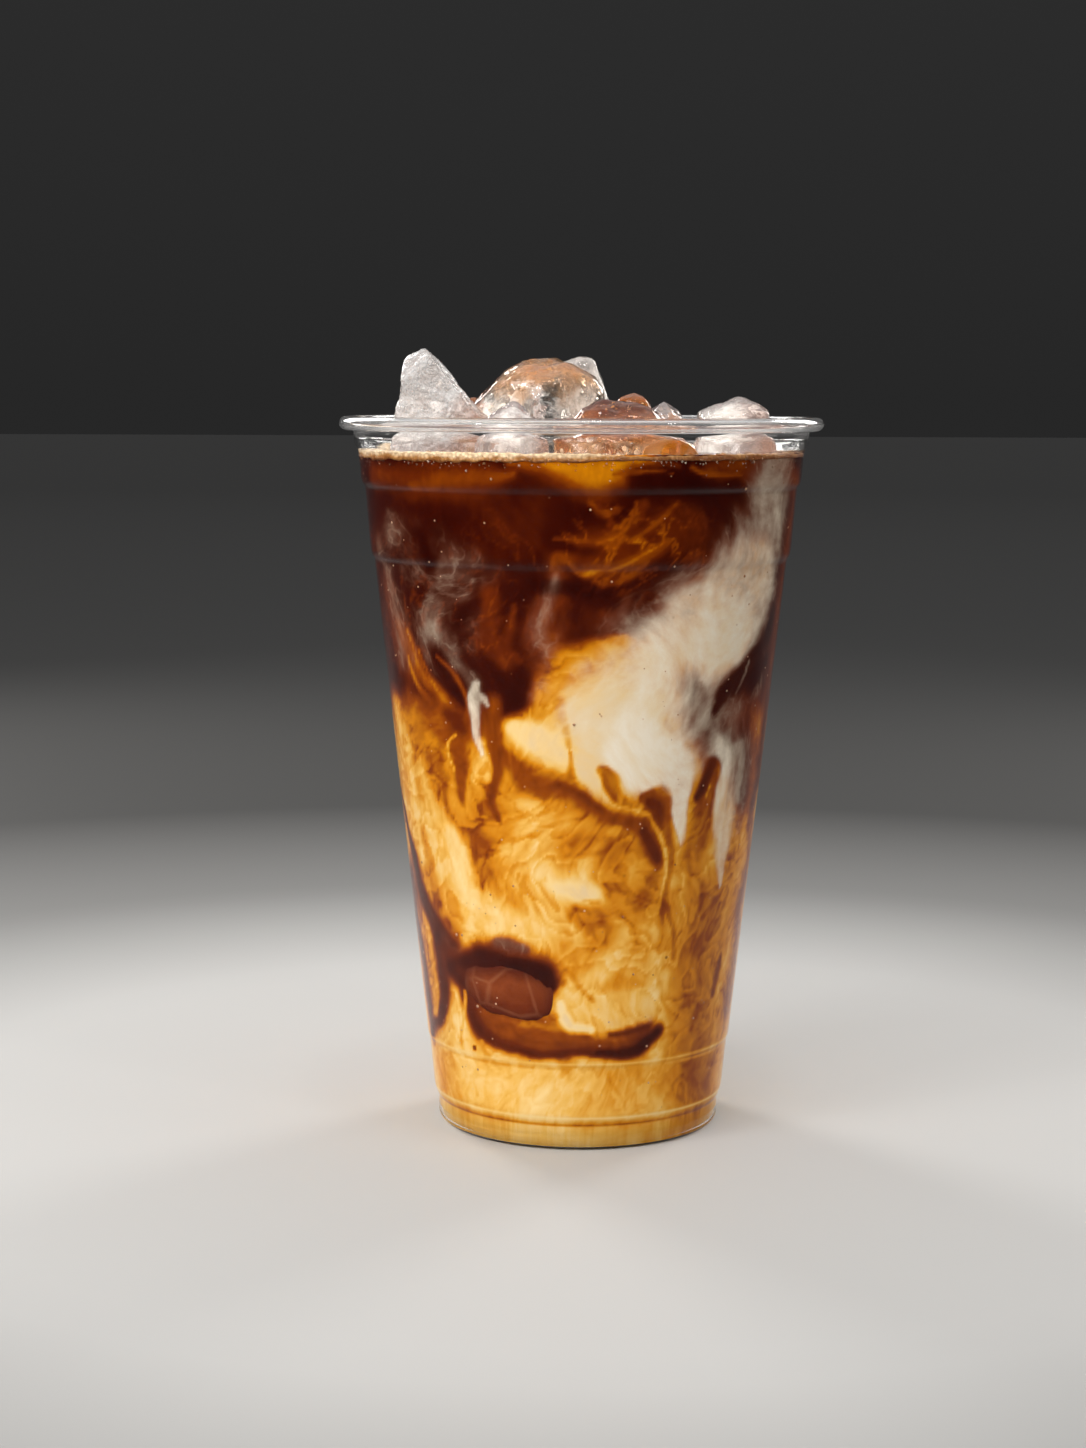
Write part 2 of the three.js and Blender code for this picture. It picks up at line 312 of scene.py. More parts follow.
# Clouds under the skin of the ice: the piece, the way they face, how many degrees they open to, their depth
# as a share of the way to the skin, and how stained they are
CLOUDS = (
    ("ice_dome", (0.1, -0.35, 1.0), 58.0, 0.94, 0.95),
    ("ice_dome", (-1.0, -0.75, 0.1), 26.0, 0.9, 0.0),
    ("ice_dome", (1.0, -0.8, 0.1), 28.0, 0.92, 0.3),
    ("ice_shard", (1.0, -0.9, -0.6), 34.0, 0.95, 0.9),
    ("ice_front_clear", (0.2, -0.8, 0.6), 46.0, 0.92, 0.05),
    ("ice_front_clear", (0.0, -0.3, 1.0), 40.0, 0.95, 0.0),
    ("ice_front_brown", (-0.5, -0.6, 0.7), 40.0, 0.93, 0.95),
    ("ice_front_brown", (0.6, -0.6, 0.6), 34.0, 0.93, 0.85),
    ("ice_front_brown", (-0.9, -0.8, 0.4), 26.0, 0.96, 0.15),
    ("ice_frosted", (-1.0, -0.8, 0.3), 40.0, 0.92, 0.0),
    ("ice_frosted", (-0.3, -0.6, 0.8), 36.0, 0.95, 0.05),
    ("ice_frosted", (1.0, -0.8, 0.0), 36.0, 0.93, 0.7),
    ("ice_small", (-0.6, -0.8, 0.2), 36.0, 0.9, 0.2),
    ("ice_back_tip", (0.3, 0.4, 0.9), 44.0, 0.92, 0.05),
    ("ice_back_right", (0.4, 0.8, 0.4), 44.0, 0.92, 0.05),
)
CLOUD_ROWS = 18
CLOUD_COLUMNS = 56
CLOUD_THICKNESS = 0.1
CLOUD_EDGE = 0.5
CLOUD_EDGE_NOISE = (1.0 / 1.3, 3, 181)
# A way that no cloud faces, from which their rings are laid out
CLOUD_ASIDE = (0.3, 0.2, 1.0)

# Stage: the floor's reach, its painted pool of light as paleness at distances from the cup, and the lamps
# with place, size and watts
FLOOR_SIDE = 9000.0
FLOOR_TINT = (1.0, 0.99, 0.97)
FLOOR_LIGHT_POOL = ((0.0, 0.58), (150.0, 0.52), (260.0, 0.2), (420.0, 0.06), (3600.0, 0.03))
SOFTBOXES = (
    ("key_left", (-620, -520, 620), (420, 520), 3.3),
    ("side_right", (600, -220, 320), (160, 600), 0.3),
    ("front_fill", (-250, -850, 580), (500, 400), 2.4),
    ("back_left", (-420, 620, 420), (200, 420), 3.0),
    ("back_right", (480, 560, 420), (200, 420), 2.4),
    ("glint_left", (-520, -420, 500), (50, 50), 0.35),
    ("glint_right", (420, -420, 560), (50, 50), 0.25),
    ("glint_above", (40, -160, 900), (70, 70), 0.4),
)
LAMP_AIM = (0.0, 0.0, 80.0)
LAMP_TINT = (1.0, 0.98, 0.95)
# Overhead light: how bright the sky is at each share of the way up
OVERHEAD = ((0.0, 0.02), (0.3, 0.03), (0.55, 0.5), (0.8, 0.75))

# Swirl: strokes of milk and cream on the unrolled wall, in the order they are laid. Each has the field it
# works on, the value it brings, its softness, and a path of (angle in degrees, height, half width).
STROKES = [
    # glow of light through the coffee under the froth
    ("milk", 0.25, 0.98, (-66, 133, 3), (-45, 133.5, 3.6), (-26, 132.5, 3.2)),
    ("milk", 0.29, 0.98, (-50, 132.4, 0.8), (-41, 132.8, 1.6), (-33, 133.4, 2.1), (-25, 133.6, 1.5),
     (-17, 134, 0.8)),
    ("milk", 0.33, 0.98, (-18, 136.4, 0.9), (-9, 135.6, 2.1), (3, 134.4, 3.7), (14, 135.4, 2.5),
     (23, 136.4, 0.9)),
    ("milk", 0.44, 0.98, (-9, 136.6, 0.8), (-2, 136, 1.7), (4, 135.4, 2.5), (10, 136.2, 1.7),
     (17, 136.8, 0.7)),
    ("milk", 0.27, 0.98, (32, 135.5, 1.8), (50, 135, 2.4), (74, 133, 3)),
    ("milk", 0.04, 0.95, (15, 132.5, 2.4), (24, 133.2, 2.8), (31, 131.5, 2.2)),
    ("milk", 0.32, 0.9, (8, 134.6, 0.4), (15, 134.4, 0.35), (22, 134.6, 0.25)),
    ("milk", 0.33, 0.9, (27, 136.6, 0.7), (30, 135.2, 0.5), (36, 134, 0.4), (43, 133.6, 0.3)),
    ("milk", 0.15, 0.98, (-26, 126, 5), (-14, 122, 6), (-12, 128, 4)),
    ("milk", 0.16, 0.98, (30, 124, 4), (34, 118, 4)),
    ("milk", 0.17, 0.98, (6, 108, 5), (8, 102, 4)),
    # smoke in the coffee
    ("milk", 0.11, 0.95, (-62, 112, 6), (-50, 106, 9), (-36, 110, 8), (-28, 118, 6)),
    ("milk", 0.20, 0.95, (-70, 112, 3), (-66, 102, 4), (-60, 94, 4)),
    ("cream", 0.22, 0.98, (-60, 122, 4), (-46, 118, 5), (-30, 117, 4)),
    ("cream", 0.24, 0.98, (-62, 105, 5), (-48, 100, 6), (-36, 104, 5)),
    ("cream", 0.24, 0.95, (-70, 120, 2.5), (-66, 108, 3.2), (-64, 97, 2.4)),
    ("cream", 0.25, 0.98, (-52, 119, 1.0), (-57, 121.5, 1.5), (-60, 125, 1.6)),
    ("cream", 0.30, 0.95, (-60, 117, 1.2), (-54, 114.5, 1.7), (-46, 115, 1.4), (-38, 117.5, 0.9)),
    ("cream", 0.30, 0.95, (-47, 105, 2.2), (-42, 110, 2.2), (-34, 112.5, 1.8)),
    ("cream", 0.38, 0.95, (-48.5, 102, 1.3), (-48, 107, 1.9), (-44, 111.6, 1.7), (-37, 114.3, 1.2),
     (-30, 114, 0.8)),
    ("cream", 0.43, 0.9, (-48, 102.6, 1.6), (-42, 102.4, 1.9), (-37, 101.4, 1.4)),
    ("cream", 0.45, 0.8, (-40, 101, 1.1), (-35, 97.5, 1.3), (-31.5, 94, 1.5), (-31.5, 90, 1.4)),
    ("milk", 0.26, 0.98, (-7, 116, 2.2), (-10, 108, 3.4), (-9, 99, 3.4), (-13, 92, 3)),
    ("cream", 0.36, 0.98, (-8, 114, 1.6), (-10.5, 107, 2.6), (-10, 99, 2.4), (-13, 92, 2)),
    ("milk", 0.30, 0.98, (-7.5, 104, 0.9), (-7, 99, 1.2)),
    ("cream", 0.01, 0.9, (-45, 121.5, 2.2), (-44, 117.5, 2.0)),
    ("milk", 0.04, 0.9, (-45, 121.5, 2.4), (-44, 117.5, 2.2)),
    ("milk", 0.06, 0.9, (-37, 108, 2.8), (-35, 104, 2.4)),
    ("cream", 0.05, 0.9, (-37, 108, 2.6), (-35, 104, 2.2)),
    ("milk", 0.05, 0.8, (-43.5, 97.8, 2.0), (-40, 94.5, 2.6), (-37, 91, 2.0)),
    ("cream", 0.03, 0.8, (-43.5, 97.8, 1.9), (-40, 94.5, 2.4), (-37, 91, 1.8)),
    ("milk", 0.08, 0.9, (-22, 96, 3), (-20, 91, 3)),
    # orange strands at the left
    ("milk", 0.28, 0.95, (-62, 104, 2), (-57, 97, 2.4), (-50, 92.5, 2.4), (-42, 88.5, 2)),
    ("milk", 0.40, 0.95, (-58, 103, 0.7), (-55.5, 98, 1.2), (-51, 94, 1.4), (-46, 91.5, 1.2),
     (-42, 88, 0.9)),
    ("milk", 0.42, 0.8, (-60, 98, 0.4), (-57, 93.5, 0.7), (-51, 89, 0.7)),
    ("milk", 0.44, 0.8, (-53.5, 100, 0.3), (-50.5, 96, 0.5), (-47, 92, 0.45)),
    ("milk", 0.25, 0.95, (-26, 111, 1.8), (-26, 104, 2.2), (-22, 99, 2)),
    ("milk", 0.21, 0.98, (-25, 110.5, 0.8), (-27, 105.5, 1.2), (-24, 100.5, 1.0)),
    ("milk", 0.20, 0.98, (-19.5, 109, 0.7), (-18, 105, 1.0), (-20, 101.5, 1.0), (-18, 99, 0.7)),
    ("milk", 0.34, 0.95, (-44, 98.6, 0.5), (-39, 96.6, 0.7), (-35.5, 92.5, 0.7), (-34.5, 88, 0.5)),
    # wisps right of the middle
    ("milk", 0.20, 0.98, (26, 125, 4), (12, 121.5, 4.6), (3, 123, 3.4)),
    ("milk", 0.25, 0.95, (16, 128.5, 1.0), (10, 124.8, 1.5), (0, 121.8, 1.2)),
    ("milk", 0.28, 0.98, (14, 129, 0.4), (10.5, 125.6, 0.8), (5, 122.6, 0.8), (-6, 121.4, 0.4)),
    ("milk", 0.36, 0.95, (12.5, 127.4, 0.25), (9.5, 124.6, 0.3), (4, 122, 0.3)),
    ("milk", 0.27, 0.98, (25, 129, 0.3), (21, 126, 0.7), (14, 123.4, 0.8), (6, 121.8, 0.5)),
    ("milk", 0.34, 0.95, (22, 126.4, 0.25), (17, 124.2, 0.3), (11, 122.6, 0.25)),
    ("milk", 0.27, 0.98, (0, 130.4, 0.5), (3, 128.4, 0.8), (8, 128.6, 0.5)),
    ("milk", 0.28, 0.95, (-5, 118, 1.0), (4, 117, 1.8), (14, 118.8, 1.8), (21, 121.3, 1.2)),
    ("milk", 0.30, 0.98, (-9, 116.2, 0.4), (-6, 118.2, 0.7), (-3, 117.4, 1.0), (0, 115.2, 1.0),
     (6, 116.7, 1.1), (13, 118.6, 1.0), (22, 121.6, 0.5)),
    ("milk", 0.40, 0.85, (-1, 115.6, 0.3), (6, 116.9, 0.35), (13, 118.9, 0.35), (20, 121.2, 0.2)),
    ("milk", 0.44, 0.75, (-3.2, 117, 0.35), (-1, 115.4, 0.7), (2.5, 116, 0.45)),
    ("milk", 0.30, 0.98, (16, 117.8, 0.4), (12, 115.8, 0.9), (6, 113.9, 0.8), (3, 114, 0.4)),
    ("milk", 0.05, 0.95, (-14, 113.5, 1.2), (-3, 112.3, 1.2), (7, 110.8, 1.6)),
    # plume of cream
    # the first two strokes paint a soft brown shade along the upper left of the plume
    ("milk", 0.20, 0.95, (58, 134, 6), (54, 124, 8), (46, 118, 6), (34, 111, 5), (22, 107, 4)),
    ("cream", 0.27, 0.95, (40, 119, 3), (30, 114.2, 4), (18, 109.4, 4.2), (8, 104.4, 3)),
    ("milk", 0.60, 0.8, (-11, 89, 2.4), (-9.5, 94, 3.0), (-4, 98.4, 2.6), (4, 101, 2.0), (11, 103, 1.3)),
    ("milk", 0.74, 0.7, (-4, 91, 4.5), (5, 94.5, 5.0), (14, 97, 5.6), (24, 96, 5), (14, 88, 10),
     (26, 84, 8)),
    ("cream", 0.50, 0.5, (60, 136, 6.6), (59, 130, 8.6), (57, 123, 10), (53, 117, 10)),
    ("cream", 0.66, 0.8, (60, 131, 4.5), (58, 125, 7), (55, 118, 9)),
    ("milk", 0.46, 0.6, (56, 116, 6), (48, 110, 9), (38, 105, 9.5)),
    ("milk", 0.70, 0.8, (44, 103, 6), (34, 99, 8), (24, 95, 8)),
    ("cream", 0.35, 0.9, (10, 99, 2.4), (2, 96.5, 3), (-3, 93, 3)),
    ("cream", 0.70, 0.85, (20, 100, 3.4), (10, 97.5, 3.8), (2, 93.5, 3.6), (-2, 89, 3)),
    ("cream", 0.62, 0.7, (32, 98, 7), (22, 94, 8.5), (12, 90, 9), (4, 87, 7)),
    ("cream", 0.70, 0.6, (6, 82, 5), (14, 82, 8), (22, 82, 9)),
    ("cream", 0.82, 0.35, (58, 115, 6.5), (51.5, 111, 9.5), (44, 107, 10.8), (34, 103, 10.6),
     (24, 99, 9.6)),
    ("cream", 0.93, 0.8, (50, 108, 5), (42, 103.5, 7.5), (32, 99.5, 8), (24, 95, 7)),
    # white mass
    ("milk", 0.86, 0.4, (4, 86, 8), (14, 84, 9)),
    ("cream", 0.97, 0.5, (17, 83, 7), (25, 80.5, 7.5)),
    ("cream", 0.95, 0.4, (12, 80.5, 4.6), (22, 76.5, 5)),
    ("milk", 0.84, 0.6, (-19, 85.5, 2.6), (-13, 82.6, 4.8), (-8.5, 79.8, 3.4)),
    ("cream", 0.25, 0.7, (-14, 83.5, 3), (-10, 80.5, 3)),
    ("milk", 0.50, 0.8, (-15, 77.4, 0.7), (-9, 75.9, 0.8), (-4, 75.5, 0.6)),
    ("milk", 0.86, 0.4, (1, 80, 3), (3, 76, 2.4), (6.4, 72.6, 1.5), (10.6, 70.6, 0.6)),
    ("cream", 0.45, 0.6, (2, 79, 2.0), (4, 75, 1.6), (7, 72.4, 0.9)),
    # mauve veil and wedges at the right
    ("milk", 0.16, 0.9, (33, 93, 4), (39, 87, 6.6), (46, 82.5, 6.4), (56, 80, 6.4), (62, 70, 4)),
    ("cream", 0.70, 0.9, (32, 93, 4), (37.5, 86.8, 6.6), (44, 81.5, 6.2)),
    ("cream", 0.56, 0.7, (53, 85, 4.6), (57, 76, 5), (59, 66, 4)),
    ("cream", 0.84, 0.6, (46, 80, 3), (48, 72, 3.4), (51, 63, 3.0), (52.5, 57, 1.7), (53.5, 52, 0.6)),
    ("cream", 0.78, 0.85, (56, 83, 0.8), (57.5, 76, 1.2), (58.5, 69, 1.0)),
    ("cream", 0.50, 0.9, (36, 94, 0.6), (36.5, 90, 1.2), (34, 87, 1.2)),
    ("cream", 0.52, 0.9, (34, 82, 1.4), (38, 84, 1.2)),
    ("milk", 0.10, 0.8, (66, 99.5, 2.6), (56, 96.4, 2.2), (50, 93.8, 2.2), (46, 91.6, 2.2), (43, 88, 1.4)),
    ("cream", 0.07, 0.75, (66, 99.5, 2.6), (56, 96.4, 2.0), (50, 93.8, 1.9), (46, 91.6, 1.9),
     (43, 88, 1.1)),
    ("cream", 0.30, 0.85, (70, 94, 1.8), (61, 88.5, 1.5), (56, 85, 1.9), (53, 82.8, 1.2)),
    ("cream", 0.48, 0.8, (56.5, 97.2, 0.25), (54, 93.6, 0.4), (51, 91, 0.3)),
    ("milk", 0.25, 0.9, (78, 130, 3), (77, 110, 4), (77, 92, 4), (76, 78, 4), (74, 64, 3)),
    ("cream", 0.10, 0.9, (78, 130, 2.6), (77, 110, 3.4), (77, 92, 3.6), (76, 78, 3.4), (74, 64, 2.4)),
    # fingers, hooks and drops
    ("cream", 0.97, 0.3, (26, 80, 4), (30, 74, 3.2), (31.5, 69.5, 2.2), (33, 64.5, 1.2), (33.5, 61.6, 0.5)),
    ("cream", 0, 0.4, (42.5, 76.6, 2.4), (41.5, 71, 2.8), (39.5, 65, 3.0), (37.5, 58, 3.2)),
    ("milk", 0.40, 0.5, (43.5, 76, 2.0), (42, 71, 2.6), (39.5, 65, 2.8), (38, 58, 2.8), (37, 52, 1.8)),
    ("milk", 0.17, 0.85, (42, 77.4, 1.5), (39.8, 74.6, 1.3), (37.8, 71.6, 0.8)),
    ("milk", 0.30, 0.8, (44.5, 76, 0.6), (45.5, 72.5, 0.6), (44.5, 68, 0.6)),
    ("milk", 0.62, 0.7, (42.6, 74, 0.25), (41.6, 72, 0.4)),
    ("cream", 0, 0.4, (6, 78.4, 1.4), (8.4, 76.4, 1.8), (10, 73.2, 1.3), (14, 71, 1.0)),
    ("milk", 0.44, 0.4, (5.5, 79, 1.2), (8, 77.4, 1.7), (8.8, 74.8, 1.4), (11.5, 72.2, 1.0),
     (16, 70.6, 0.8)),
    ("milk", 0.36, 0.6, (6, 78.2, 0.5), (7.4, 75.6, 0.6), (9.8, 72.4, 0.5)),
    ("cream", 0, 0.4, (18.5, 71.4, 1.7), (22.5, 71, 2.4), (25.5, 67, 2.2), (28, 61, 1.6)),
    ("milk", 0.34, 0.4, (18, 72, 1.2), (22, 71.6, 1.9), (25, 69, 2.5), (27, 64.5, 1.9), (29, 58, 1.4),
     (29.5, 51, 0.9), (31.5, 45, 0.7), (34, 40, 0.6)),
    ("milk", 0.22, 0.7, (20.5, 70.6, 1.1), (23.5, 69, 1.4), (25, 65.6, 1.0)),
    ("milk", 0.64, 0.8, (-7, 91, 1.2), (-5.6, 87, 0.8), (-4.8, 82, 0.5)),
    ("milk", 0.46, 0.8, (-4.6, 81, 0.3), (-3.4, 77.5, 0.6), (-1.6, 74.6, 0.8)),
    # lobes of tan
    ("milk", 0.44, 0.95, (-24, 79, 2.4), (-10, 72.4, 3.8), (4, 68.4, 3.8), (18, 65.4, 3.2), (23, 60, 3.4),
     (23, 54, 2.6)),
    ("milk", 0.33, 0.8, (-25, 81, 1.2), (-18, 76.2, 1.7), (-10, 73.6, 2.1), (-2, 72.4, 2.2),
     (6, 69.6, 1.8), (14, 67.6, 1.4), (20, 66.2, 1.2)),
    ("milk", 0.26, 0.9, (-6, 74, 0.8), (1, 72.4, 0.9), (8, 69.2, 0.7)),
    ("milk", 0.30, 0.5, (8, 68.4, 0.9), (16, 67.2, 1.2), (20.5, 65, 1.8), (23, 61.5, 2.0),
     (24.8, 58.6, 1.2)),
    ("milk", 0.20, 0.75, (20, 65.2, 0.8), (22.6, 62, 1.1), (24.3, 59.4, 0.8)),
    ("milk", 0.62, 0.6, (12, 70.6, 0.3), (18, 69.2, 0.4), (22, 67.6, 0.45), (25.5, 64, 0.45),
     (27.6, 59.5, 0.45), (28, 55, 0.4), (27, 50, 0.3)),
    ("milk", 0.60, 0.8, (-18, 68.6, 3.0), (-8, 66.4, 3.6), (4, 64, 3.0), (13, 63.2, 1.8)),
    ("milk", 0.51, 0.9, (-10, 64.5, 1.2), (2, 63.6, 1.3), (12, 64.2, 1.1)),
    ("milk", 0.42, 0.9, (-12, 60.4, 0.4), (-2, 60.5, 0.6), (8, 61.4, 0.6), (15, 63, 0.5)),
    ("milk", 0.66, 0.95, (-15, 58, 3.0), (-5, 57.8, 2.8), (5, 58, 2.2)),
    ("milk", 0.55, 0.98, (-27, 63, 3.4), (-22, 56, 4.0), (-17, 50.5, 2.8)),
    ("milk", 0.47, 0.98, (11, 62, 2.6), (13, 56, 3.2), (16, 51, 3)),
    ("milk", 0.39, 0.9, (23, 56, 1.3), (21, 52.5, 1.5), (19, 50, 1.1)),
    ("milk", 0.86, 0.85, (-7, 53.8, 2.0), (-2, 53.6, 2.9), (3, 53, 2.0)),
    ("cream", 0.34, 0.95, (-5, 53.6, 1.4), (-1, 53.4, 1.8)),
    ("milk", 0.70, 0.7, (-2.4, 46, 0.3), (-2.6, 49, 0.35), (0, 51.6, 0.4), (5, 52, 0.3)),
    ("milk", 0.43, 0.4, (-0.6, 49, 2.0), (3, 48.6, 2.8), (5, 47.6, 2.9)),
    ("milk", 0.34, 0.8, (4.5, 46.8, 1.2), (6.2, 48, 1.0)),
    ("milk", 0.46, 0.7, (6, 46, 1.2), (8, 43.6, 0.8), (13, 41, 0.5), (17, 40, 0.4)),
    ("milk", 0.46, 0.5, (2, 43.3, 1.0), (3, 43.2, 1.0)),
    # left side
    ("milk", 0.58, 0.95, (-74, 86, 3), (-70, 74, 4), (-66, 62, 3.4)),
    ("milk", 0.32, 0.9, (-62, 88, 2.6), (-52, 86, 3.4), (-44, 84.6, 4.0), (-36, 86, 3.0)),
    ("milk", 0.24, 0.9, (-44, 87.6, 1.4), (-39, 86.4, 1.6)),
    ("milk", 0.42, 0.95, (-60, 84, 3), (-55, 80, 3.4), (-49, 76, 3)),
    ("milk", 0.31, 0.7, (-39.5, 81, 2.0), (-38.6, 77, 2.1), (-38, 73, 1.6), (-37.4, 69.6, 0.8)),
    ("milk", 0.66, 0.7, (-40.5, 84.4, 0.25), (-43.2, 82, 0.3), (-43, 79.4, 0.25), (-41.4, 77, 0.2)),
    ("milk", 0.39, 0.9, (-47, 80, 1.2), (-46, 74, 1.2), (-45, 68, 0.7)),
    ("milk", 0.29, 0.8, (-26, 90, 2.0), (-27, 84, 1.9), (-27.4, 78, 1.6), (-27, 72, 1.1), (-26, 67, 0.6)),
    ("cream", 0.85, 0.45, (-31, 94, 0.9), (-32.6, 90.5, 1.5), (-33, 87, 1.3), (-32.6, 84, 0.9),
     (-31.8, 81, 0.5)),
    ("cream", 0.78, 0.6, (-33, 91.6, 0.8), (-29.4, 91.2, 0.8), (-28, 89.8, 0.4)),
    ("milk", 0.66, 0.7, (-31.8, 83, 0.9), (-30.6, 79, 0.9), (-29.4, 75.5, 0.7)),
    ("milk", 0.70, 0.95, (-58, 76, 2.2), (-52, 66, 3.6), (-45, 56, 5.0), (-34, 48, 4.6), (-20, 45, 3.6)),
    ("milk", 0.66, 0.95, (-66, 80, 2.0), (-63, 70, 2.4), (-59, 60, 2.2)),
    ("milk", 0.80, 0.95, (-46, 64, 1.6), (-43, 58, 2.6), (-39, 52, 3.2), (-31, 47.6, 2.8),
     (-20, 45.4, 2.2)),
    ("milk", 0.45, 0.95, (-61, 62, 1.6), (-59, 54, 1.8), (-55, 49, 1.4)),
    ("milk", 0.51, 0.98, (-35, 68, 1.8), (-33.5, 60, 2.2), (-32, 55, 1.6)),
    ("milk", 0.76, 0.98, (-40, 46.4, 2.6), (-26, 44.6, 3.2), (-10, 44.4, 3.4)),
    # cream lobes low down
    ("milk", 0.66, 0.98, (-4, 40, 5), (8, 36, 6), (22, 34, 6)),
    ("milk", 0.74, 0.95, (-4, 31, 3), (6, 28.6, 3.4), (18, 29.5, 3)),
    ("milk", 0.51, 0.95, (11, 34.6, 1.3), (16, 35.2, 1.5), (21, 34, 1.0)),
    ("milk", 0.56, 0.9, (-7, 39, 0.5), (-1, 35, 0.6), (5, 31.4, 0.5)),
    ("milk", 0.56, 0.9, (9, 45, 0.3), (12, 42, 0.4), (18, 40.8, 0.4), (24, 41.5, 0.3)),
    ("milk", 0.58, 0.85, (12, 46, 0.25), (15, 45.6, 0.3), (18, 44, 0.3), (17, 42, 0.25)),
    # dark pocket and crescent low at the left
    ("milk", 0.20, 0.9, (-80, 52, 3), (-76, 40, 3.4), (-74, 28, 3), (-72, 20, 2)),
    ("milk", 0.15, 0.7, (-88, 74, 0.3), (-80, 65, 0.9), (-72, 55, 1.8), (-64, 47, 2.4), (-57, 42.5, 3.0),
     (-50, 40, 3.2)),
    ("milk", 0.17, 0.7, (-58, 43, 2.2), (-57, 36, 2.6), (-59, 29, 2.4), (-64, 23, 2.0), (-72, 18.5, 1.8)),
    ("cream", 0.12, 0.9, (-64, 47, 1.5), (-55, 42.5, 1.8), (-46, 40.4, 1.4)),
    ("milk", 0.50, 0.7, (-72, 46, 1.0), (-69.5, 38, 1.6), (-67.5, 30, 1.6), (-67, 24, 1.0)),
    ("cream", 0.11, 0.8, (-72, 46, 1.0), (-69.5, 38, 1.6), (-67.5, 30, 1.6), (-67, 24, 1.0)),
    ("milk", 0.24, 0.9, (-50, 36.8, 3.6), (-30, 37, 4.6), (-12, 36.4, 3)),
    ("milk", 0.12, 0.75, (-44, 37.6, 2.0), (-36, 38.4, 3.0), (-24, 37.6, 3.4), (-14, 36.8, 2.6),
     (-9.4, 34.4, 1.8)),
    ("milk", 0.05, 0.8, (-27, 38.6, 1.0), (-20, 38, 1.4), (-13, 36.6, 1.4), (-10, 33.6, 1.1)),
    ("milk", 0.16, 0.8, (-50, 36, 2.2), (-46, 33, 2.4), (-44, 29, 2.2)),
    ("milk", 0.13, 0.75, (-42, 31.8, 3.2), (-28, 30.8, 3.9), (-15, 31.4, 3.2)),
    ("milk", 0.29, 0.8, (-45, 28.4, 2.4), (-35, 25, 2.8), (-20, 23.6, 2.8), (-6, 22.2, 2.0),
     (6, 21.8, 1.8), (15, 22.3, 2.2), (23, 23.4, 2.3), (28, 24.2, 1.5)),
    ("milk", 0.32, 0.9, (-26, 24.8, 1.0), (-14, 24.2, 1.5), (-4, 22.8, 1.0), (4, 22.4, 0.7)),
    ("milk", 0.35, 0.85, (-16, 28.2, 1.4), (-10, 26.6, 1.6)),
    ("milk", 0.18, 0.85, (-46, 30, 1.2), (-42, 25.6, 1.4), (-34, 22.6, 1.3), (-22, 20.8, 1.2),
     (-8, 19.9, 1.0), (5, 19.8, 1.1), (15, 20.4, 1.4), (23, 21.7, 1.4), (29.5, 23.9, 1.1)),
    ("milk", 0.10, 0.9, (8, 20.4, 0.6), (16, 20.9, 0.9), (23, 22.0, 0.9), (28.5, 23.8, 0.7)),
    ("milk", 0.86, 0.7, (-6.6, 30, 0.6), (-6, 27.2, 1.0), (-3.4, 24.9, 1.0), (3, 24.6, 0.8)),
    ("cream", 0.40, 0.8, (-5.6, 27, 0.6), (-4, 25.4, 0.6)),
    ("cream", 0.30, 0.95, (-31, 42.3, 1.4), (-25, 42.7, 1.8), (-18, 41.8, 1.0)),
    ("milk", 0.18, 0.95, (-30, 42.2, 1.1), (-25, 42.3, 1.5), (-19, 41.4, 0.9)),
    ("milk", 0.22, 0.95, (10, 24.4, 0.6), (17, 25.3, 0.9), (24, 25.4, 0.8)),
    ("cream", 0.28, 0.95, (10, 26.6, 1.1), (17, 27.3, 1.4), (24, 26.8, 1.1)),
    ("milk", 0.12, 0.5, (-41.6, 20.6, 0.4), (-41.4, 20.2, 0.4)),
    # right side, low
    ("milk", 0.56, 0.95, (36, 55, 2.6), (37, 47, 3.2), (40, 41, 2.6)),
    ("milk", 0.42, 0.98, (47, 50, 4.2), (49, 38, 5.4), (47, 26, 5)),
    ("milk", 0.48, 0.85, (38, 60, 0.6), (40.5, 55, 0.6), (42.5, 50, 0.5), (44, 43, 0.4)),
    ("milk", 0.48, 0.95, (54, 36, 1.6), (55, 28, 1.8), (55, 20, 1.4)),
    ("milk", 0.50, 0.95, (56, 54, 1.4), (58, 46, 1.6)),
    ("milk", 0.37, 0.95, (76, 62, 3), (74, 50, 3.4), (72, 38, 3.2), (70, 24, 3)),
    # bottom
    ("milk", 0.52, 0.8, (-46, 31, 0.5), (-48, 24, 0.5), (-47, 16, 0.4), (-44, 10, 0.35)),
    ("milk", 0.54, 0.8, (-38, 22, 0.4), (-35, 18, 0.5), (-30, 14, 0.4)),
    ("milk", 0.60, 0.8, (12, 17, 0.4), (14, 12, 0.4), (17, 8, 0.35)),
    ("milk", 0.60, 0.98, (-4, 17, 1.6), (12, 16.6, 1.8), (26, 17.4, 1.8)),
    ("milk", 0.74, 0.98, (-44, 15, 4), (-30, 12, 5), (-14, 11, 4)),
    ("milk", 0.60, 0.95, (-64, 17, 3), (-68, 9, 2.5)),
    ("milk", 0.40, 0.98, (46, 26, 4.6), (52, 18, 6), (56, 9, 5)),
    # brown patches low at the right
    ("milk", 0.28, 0.95, (58, 37, 0.6), (57, 33.5, 1.6), (56, 29.6, 0.8)),
    ("milk", 0.32, 0.95, (47, 29, 0.4), (46.4, 26.4, 1.2), (45.4, 23.6, 0.5)),
]


def linear(red, green, blue):
    """Linear colour from red, green and blue as a display shows them, each 0 to 255."""
    shown = np.array([red, green, blue]) / 255.0
    light = np.where(shown <= 0.04045, shown / 12.92, ((shown + 0.055) / 1.055) ** 2.4)
    return (*light.tolist(), 1.0)


